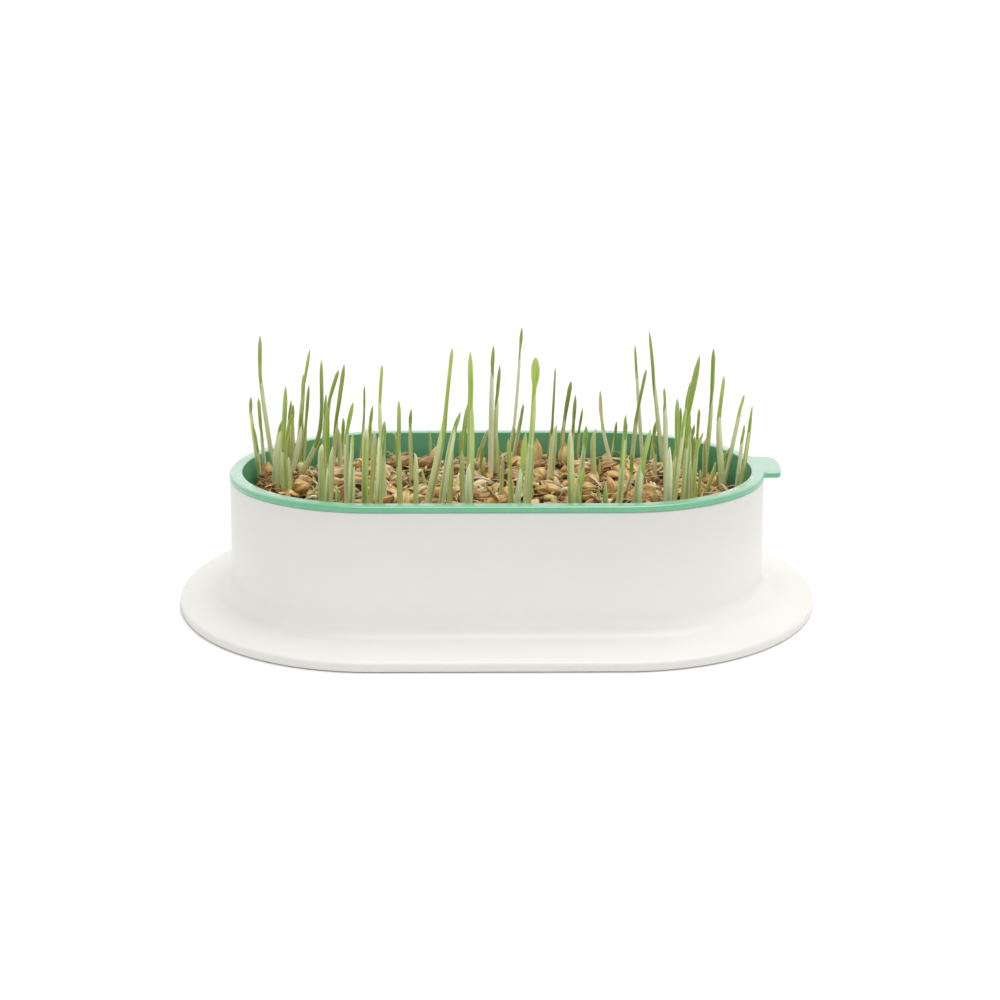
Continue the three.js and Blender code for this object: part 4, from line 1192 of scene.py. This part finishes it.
class Stem:
    """A smooth line through a shoot's middles, with two directions across it, that is read off at
    distances from its foot."""

    def __init__(self, middles, facing, swing):
        sunk = middles[:1] + np.array([[swing[0], swing[1], -1.8]]) * MM
        line = smooth_line(np.concatenate([sunk, middles]), 110)
        steps = np.linalg.norm(np.diff(line, axis=0), axis=1)
        self.distance = np.append(0, np.cumsum(steps))
        self.tracks = (line, *section_axes(line, facing))
        self.length = self.distance[-1] - 0.05 * MM
        from_mouth = np.linalg.norm(line - middles[RINGS_TO_MOUTH - 1], axis=1)
        self.mouth = self.distance[np.argmin(from_mouth)]

    def rise_to(self, height):
        """How far along the stem a height is reached."""
        return np.interp(height, self.tracks[0][:, 2], self.distance)

    def at(self, distance):
        """Points, sideways directions and directions through, each (..., 3)."""
        return [np.stack([np.interp(distance, self.distance, track[:, axis]) for axis in range(3)],
                         axis=-1) for track in self.tracks]

    def tube(self, distance, radius, angle, hood):
        """Rings about the stem, with ribs along them at 5 and 11 times the angle, turned by hood and
        a little flattened."""
        radius = radius * (1 + 0.03 * np.cos(5 * angle) + 0.015 * np.cos(11 * angle))
        across, through = radius * np.cos(angle + hood), 0.84 * radius * np.sin(angle + hood)
        middle, side, up = self.at(distance)
        return (middle + across[..., None] * side + through[..., None] * up)[None]


def foot_swell(s):
    """1 plus a narrow bell of 0.12 at the foot."""
    return 1 + 0.12 * np.exp(-((s / 0.07) ** 2))


def sheath_rings(stem, mouth, width, slant, hood):
    """A tube along the stem up to a slanting mouth. Around the ring the mouth's edge rises from the
    low side to the tip of the hood, where a = 0, as 1 - |sin(a / 2)|^0.9 and as a cosine, half
    each. The radius swells at the foot and narrows to the hood's tip. Last, three rows go down
    inside."""
    s = np.append(np.linspace(0, 1, SHEATH_ROWS - 3), [1, 1, 1])[:, None]
    inner = np.append(np.ones(SHEATH_ROWS - 3), [0.88, 0.84, 0.8])[:, None]
    sink = np.append(np.zeros(SHEATH_ROWS - 3), [0.0, 0.3, 0.8])[:, None] * width
    angle = ring_angles(SHEATH_COLUMNS)[None]
    lobe = 0.75 - 0.5 * np.abs(np.sin(angle / 2)) ** 0.9 + 0.25 * np.cos(angle)
    distance = s * (mouth - 0.55 * slant) + ease((s - 0.45) / 0.55) * slant * lobe - sink
    share = foot_swell(s) - 0.12 * ease((s - 0.5) / 0.5)
    share = share * (1 - 0.4 * lobe * ease((s - 0.82) / 0.18)) * inner
    return stem.tube(distance, width / 2 * share, angle, hood)


def closed_rings(stem, width, hood, blunt):
    """A sheath that hasn't opened: a tube up to its tip. Over its last part the radius is
    (1 - t^p)^q, with p = 2.6 and q = 0.6 on a blunt tip, and 1.7 and 0.75 on a pointed one."""
    s = np.linspace(0, 0.998, SHEATH_ROWS)[:, None]
    angle = ring_angles(SHEATH_COLUMNS)[None]
    cap = min((2.2 if blunt else 3.2) * width / stem.length, 0.5)
    bend, close = (2.6, 0.6) if blunt else (1.7, 0.75)
    share = (1 - np.clip((s - 1 + cap) / cap, 0, 1) ** bend) ** close
    share = share * (foot_swell(s) - 0.1 * ease((s - 0.5) / 0.5))
    return stem.tube(s * stem.length + 0 * angle, width / 2 * share, angle, hood)


def blade_rings(stem, sheath_width, width, slant, hood, spoon):
    """A closed leaf section along the stem: a lens that is bent into a channel. Inside the mouth it
    is rolled and lies a little off the hood; above it narrows to a neck, opens, is widest past its
    middle, and ends in a short point. On a spoon the neck is long and the wide part short."""
    s = np.linspace(0, 1, BLADE_ROWS)[:, None]
    angle = ring_angles(BLADE_COLUMNS)[None]
    start = max(stem.mouth - 0.6 * slant - 0.8 * sheath_width, 0)
    distance = start + s * (stem.length - start)
    above = (distance - stem.mouth) / (stem.length - stem.mouth)
    opened = ease(above / draw.uniform(0.3, 0.5))
    rolled = draw.uniform(0.33, 0.39) * sheath_width
    neck, low, wide = (0.55, 0.1, 0.6) if spoon else (draw.uniform(0.75, 1), 0.05, 0.5)
    leaf = width / 2 * (neck + (1 - neck) * ease((above - low) / (wide - low)))
    slender = 1.6 if spoon else draw.uniform(2.0, 4.6)
    tip = np.clip(slender * width / (stem.length - stem.mouth), 0.12, 0.7)
    point = (1 - np.clip((above - 1 + tip) / tip, 0, 1) ** 2) ** 0.72
    half = (rolled + (leaf - rolled) * opened) * np.maximum(point, 0.05)
    thick = (0.11 * MM + 0.7 * rolled * (1 - opened)) * np.maximum(point, 0.3)
    channel = half * (0.2 + 0.5 * opened * (1 - above)) * draw.choice([-1, 1])
    twist = draw.normal(0, 0.35) * above * min(stem.length / (30 * MM), 1)
    aside = 0.08 * sheath_width * (1 - opened)
    middle, side, up = stem.at(distance + 0 * angle)
    across = half * np.cos(angle)
    through = thick * np.sin(angle) + channel * (np.abs(np.cos(angle)) ** 1.5 - 0.5)
    turned_across = across * np.cos(twist) - through * np.sin(twist) - aside * np.cos(hood)
    turned_through = across * np.sin(twist) + through * np.cos(twist) - aside * np.sin(hood)
    rings = middle + turned_across[..., None] * side + turned_through[..., None] * up
    return rings[None], ((np.cos(angle) + 1) / 2)[0]


# Shoots that stand out: the sheath's and the blade's tones, and what is special about them. A blade
# tone of None is a sheath that hasn't opened.
STANDOUTS = {
    "shoot_01": (0.1, 0.8, ""), "shoot_03": (0.45, 0.5, ""), "shoot_07": (0.4, 0.85, "swings left"),
    "shoot_09": (0.5, 0.75, ""), "shoot_11": (0.25, None, "blunt"),
    "shoot_13": (0.95, None, "blunt"), "shoot_16": (0.3, 0.35, ""), "shoot_17": (0.5, 0.65, ""),
    "shoot_18": (0.3, 0.4, ""), "shoot_21": (0.95, 0.45, ""), "shoot_23": (0.0, 0.9, ""),
    "shoot_24": (0.2, 0.95, ""), "shoot_25": (0.0, 0.6, ""), "shoot_26": (1.0, 0.42, "spoon"),
    "shoot_28": (0.35, 0.7, ""), "shoot_34": (0.0, 0.0, "swings right"),
    "shoot_35": (0.95, 0.85, ""), "shoot_36": (0.0, 0.5, ""), "shoot_38": (0.1, 0.75, ""),
    "shoot_40": (0.1, 0.5, ""), "shoot_42": (0.5, 0.45, ""), "shoot_45": (0.2, 0.5, "swings right"),
    "shoot_46": (0.15, 0.2, ""),
}
SWINGS = {"swings left": (-3.2, -0.5), "swings right": (3.4, -0.7)}

# Shoots that have two sheaths: the outer one's mouth and its width, the inner one's mouth and its
# width, then the blade's width, all in millimetres and mouths above the grains' level.
CUFFED = {"shoot_21": (18, 2.4, 29.5, 2.2, 1.55), "shoot_25": (11, 1.5, 36, 1.0, 1.1),
          "shoot_26": (20.5, 2.4, 33, 1.6, 2.4), "shoot_35": (15, 1.9, 24, 1.7, 1.2)}
SHORT_BLADE = 4.2 * MM

# From where to where along the tray, in millimetres, each piece of small shoots reaches.
SHOOT_THIRDS = {"left": (-90, -25), "middle": (-25, 28), "right": (28, 90)}

# Which way hoods face, as a turn from the shoot's wide side, and how often.
HOODS = (0.0, 0.5 * np.pi, np.pi, 1.5 * np.pi)
HOOD_SHARES = (0.3, 0.1, 0.25, 0.35)


def add_shoot(piece, middles, facing, sheath_width, blade_width, name=""):
    """A sheath from inside the bed to its mouth, and the blade that comes out of it. Where the tip
    is close above the mouth the sheath is still closed."""
    sheath_tone, blade_tone = draw.uniform(0, 0.75), 0.15 + 0.85 * draw.beta(1.6, 1.5)
    special = ""
    if middles[-1, 2] - middles[RINGS_TO_MOUTH - 1, 2] < SHORT_BLADE:
        blade_tone = None
        if middles[-1, 2] < BED_LEVEL + 12 * MM:
            sheath_tone = 0.6 + 0.5 * sheath_tone
    if name in STANDOUTS:
        sheath_tone, blade_tone, special = STANDOUTS[name]
    stem = Stem(middles, facing, SWINGS.get(special, draw.normal(0, 0.5, 2)))
    hood = draw.choice(HOODS, p=HOOD_SHARES) + draw.normal(0, 0.3)
    if blade_tone is None:
        piece.skin(closed_rings(stem, sheath_width, hood, special == "blunt"), SHEATH, sheath_tone)
        return
    slant = min(draw.uniform(1.8, 3.4) * sheath_width, 0.6 * stem.mouth)
    if name in CUFFED:
        cuff, cuff_width, mouth, sheath_width, blade_width = np.array(CUFFED[name]) * MM
        rise = stem.rise_to(BED_LEVEL + cuff)
        rings = sheath_rings(stem, rise, cuff_width, 0.5 * slant, hood + 2.5)
        piece.skin(rings, SHEATH, 0.25)
        stem.mouth = stem.rise_to(BED_LEVEL + mouth)
    piece.skin(sheath_rings(stem, stem.mouth, sheath_width, slant, hood), SHEATH, sheath_tone)
    rings, across = blade_rings(stem, sheath_width, blade_width, slant, hood, special == "spoon")
    piece.skin(rings, BLADE, blade_tone, across)


def shoots():
    """Each shoot of the frame as a piece of its own, then the small ones as three pieces."""
    names = sorted(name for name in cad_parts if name.startswith("shoot_"))
    for name in names:
        piece = Piece(f"grass_{name}", "shoot", [name])
        add_shoot(piece, *frame_shoot(name), name)
        piece.make()
    for third, (low, high) in SHOOT_THIRDS.items():
        piece = Piece(f"small_shoots_{third}", "shoot")
        for row in SMALL_SHOOTS:
            if low <= row[0] < high:
                add_shoot(piece, *small_shoot(row))
        piece.make()


# ---------------------------------------------------------------- floor, light and camera


SUN_SPREAD = np.radians(50)
SUN_TURN = (np.radians(-4), np.radians(8), 0)
SUN_STRENGTH = 2.25
SUN_COLOUR = (1.0, 0.985, 0.955)
SKY_STRENGTH = 1.02
SKY_FADE = ((0.34, 1), (0.55, 0.285))


def studio():
    """A pale floor under a white sky that dims towards the top, and one very soft lamp above, a
    little to the right."""
    world = bpy.data.worlds.new("white_sky")
    world.use_nodes = True
    sky = Nodes(world.node_tree)
    direction = sky.node("ShaderNodeTexCoord", output="Generated")
    rise = sky.node("ShaderNodeSeparateXYZ", {"Vector": direction}, output="Z")
    colour = sky.levels(rise, *SKY_FADE)
    background = sky.tree.nodes["Background"]
    sky.feed(background.inputs["Color"], colour)
    background.inputs["Strength"].default_value = SKY_STRENGTH
    bpy.context.scene.world = world
    bpy.ops.mesh.primitive_plane_add(size=40)
    floor = bpy.context.object
    floor.name = "floor"
    floor.location.z = -0.1 * MM
    finish = Finish("pale_floor", Specular_IOR_Level=0.0, Roughness=1.0)
    floor.data.materials.append(finish.shade(Base_Color=srgb(249, 249, 249)))
    light = bpy.data.lights.new("soft_lamp", "SUN")
    light.angle = SUN_SPREAD
    light.energy = SUN_STRENGTH
    light.color = SUN_COLOUR
    lamp = bpy.data.objects.new("soft_lamp", light)
    lamp.rotation_euler = SUN_TURN
    bpy.context.collection.objects.link(lamp)


CAMERA_DISTANCE = 330 * MM
CAMERA_ELEVATION = np.radians(17.4)
CAMERA_YAW = np.radians(-0.35)
AIM_HEIGHT = 19.1 * MM
FOCAL_LENGTH = 38.33
FRAMING_SHIFT = (0.0029, 0.027)


def camera():
    """Slightly above the rim, in front of the long side. The shift sets the tray in the frame."""
    data = bpy.data.cameras.new("camera")
    data.lens = FOCAL_LENGTH
    data.sensor_width = 36
    data.shift_x, data.shift_y = FRAMING_SHIFT
    data.clip_start = 0.01
    holder = bpy.data.objects.new("camera", data)
    bpy.context.collection.objects.link(holder)
    level = CAMERA_DISTANCE * np.cos(CAMERA_ELEVATION)
    holder.location = (level * np.sin(CAMERA_YAW), -level * np.cos(CAMERA_YAW),
                       AIM_HEIGHT + CAMERA_DISTANCE * np.sin(CAMERA_ELEVATION))
    holder.rotation_euler = (TURN / 4 - CAMERA_ELEVATION, 0, CAMERA_YAW)
    bpy.context.scene.camera = holder


studio()
camera()
outer_pot()
inner_tray()
litter()
germ_ends = grain_bed()
loose_grains()
husks()
slivers()
surface_roots(germ_ends)
crumbs()
shoots()

scene = bpy.context.scene
scene.view_settings.view_transform = "Standard"
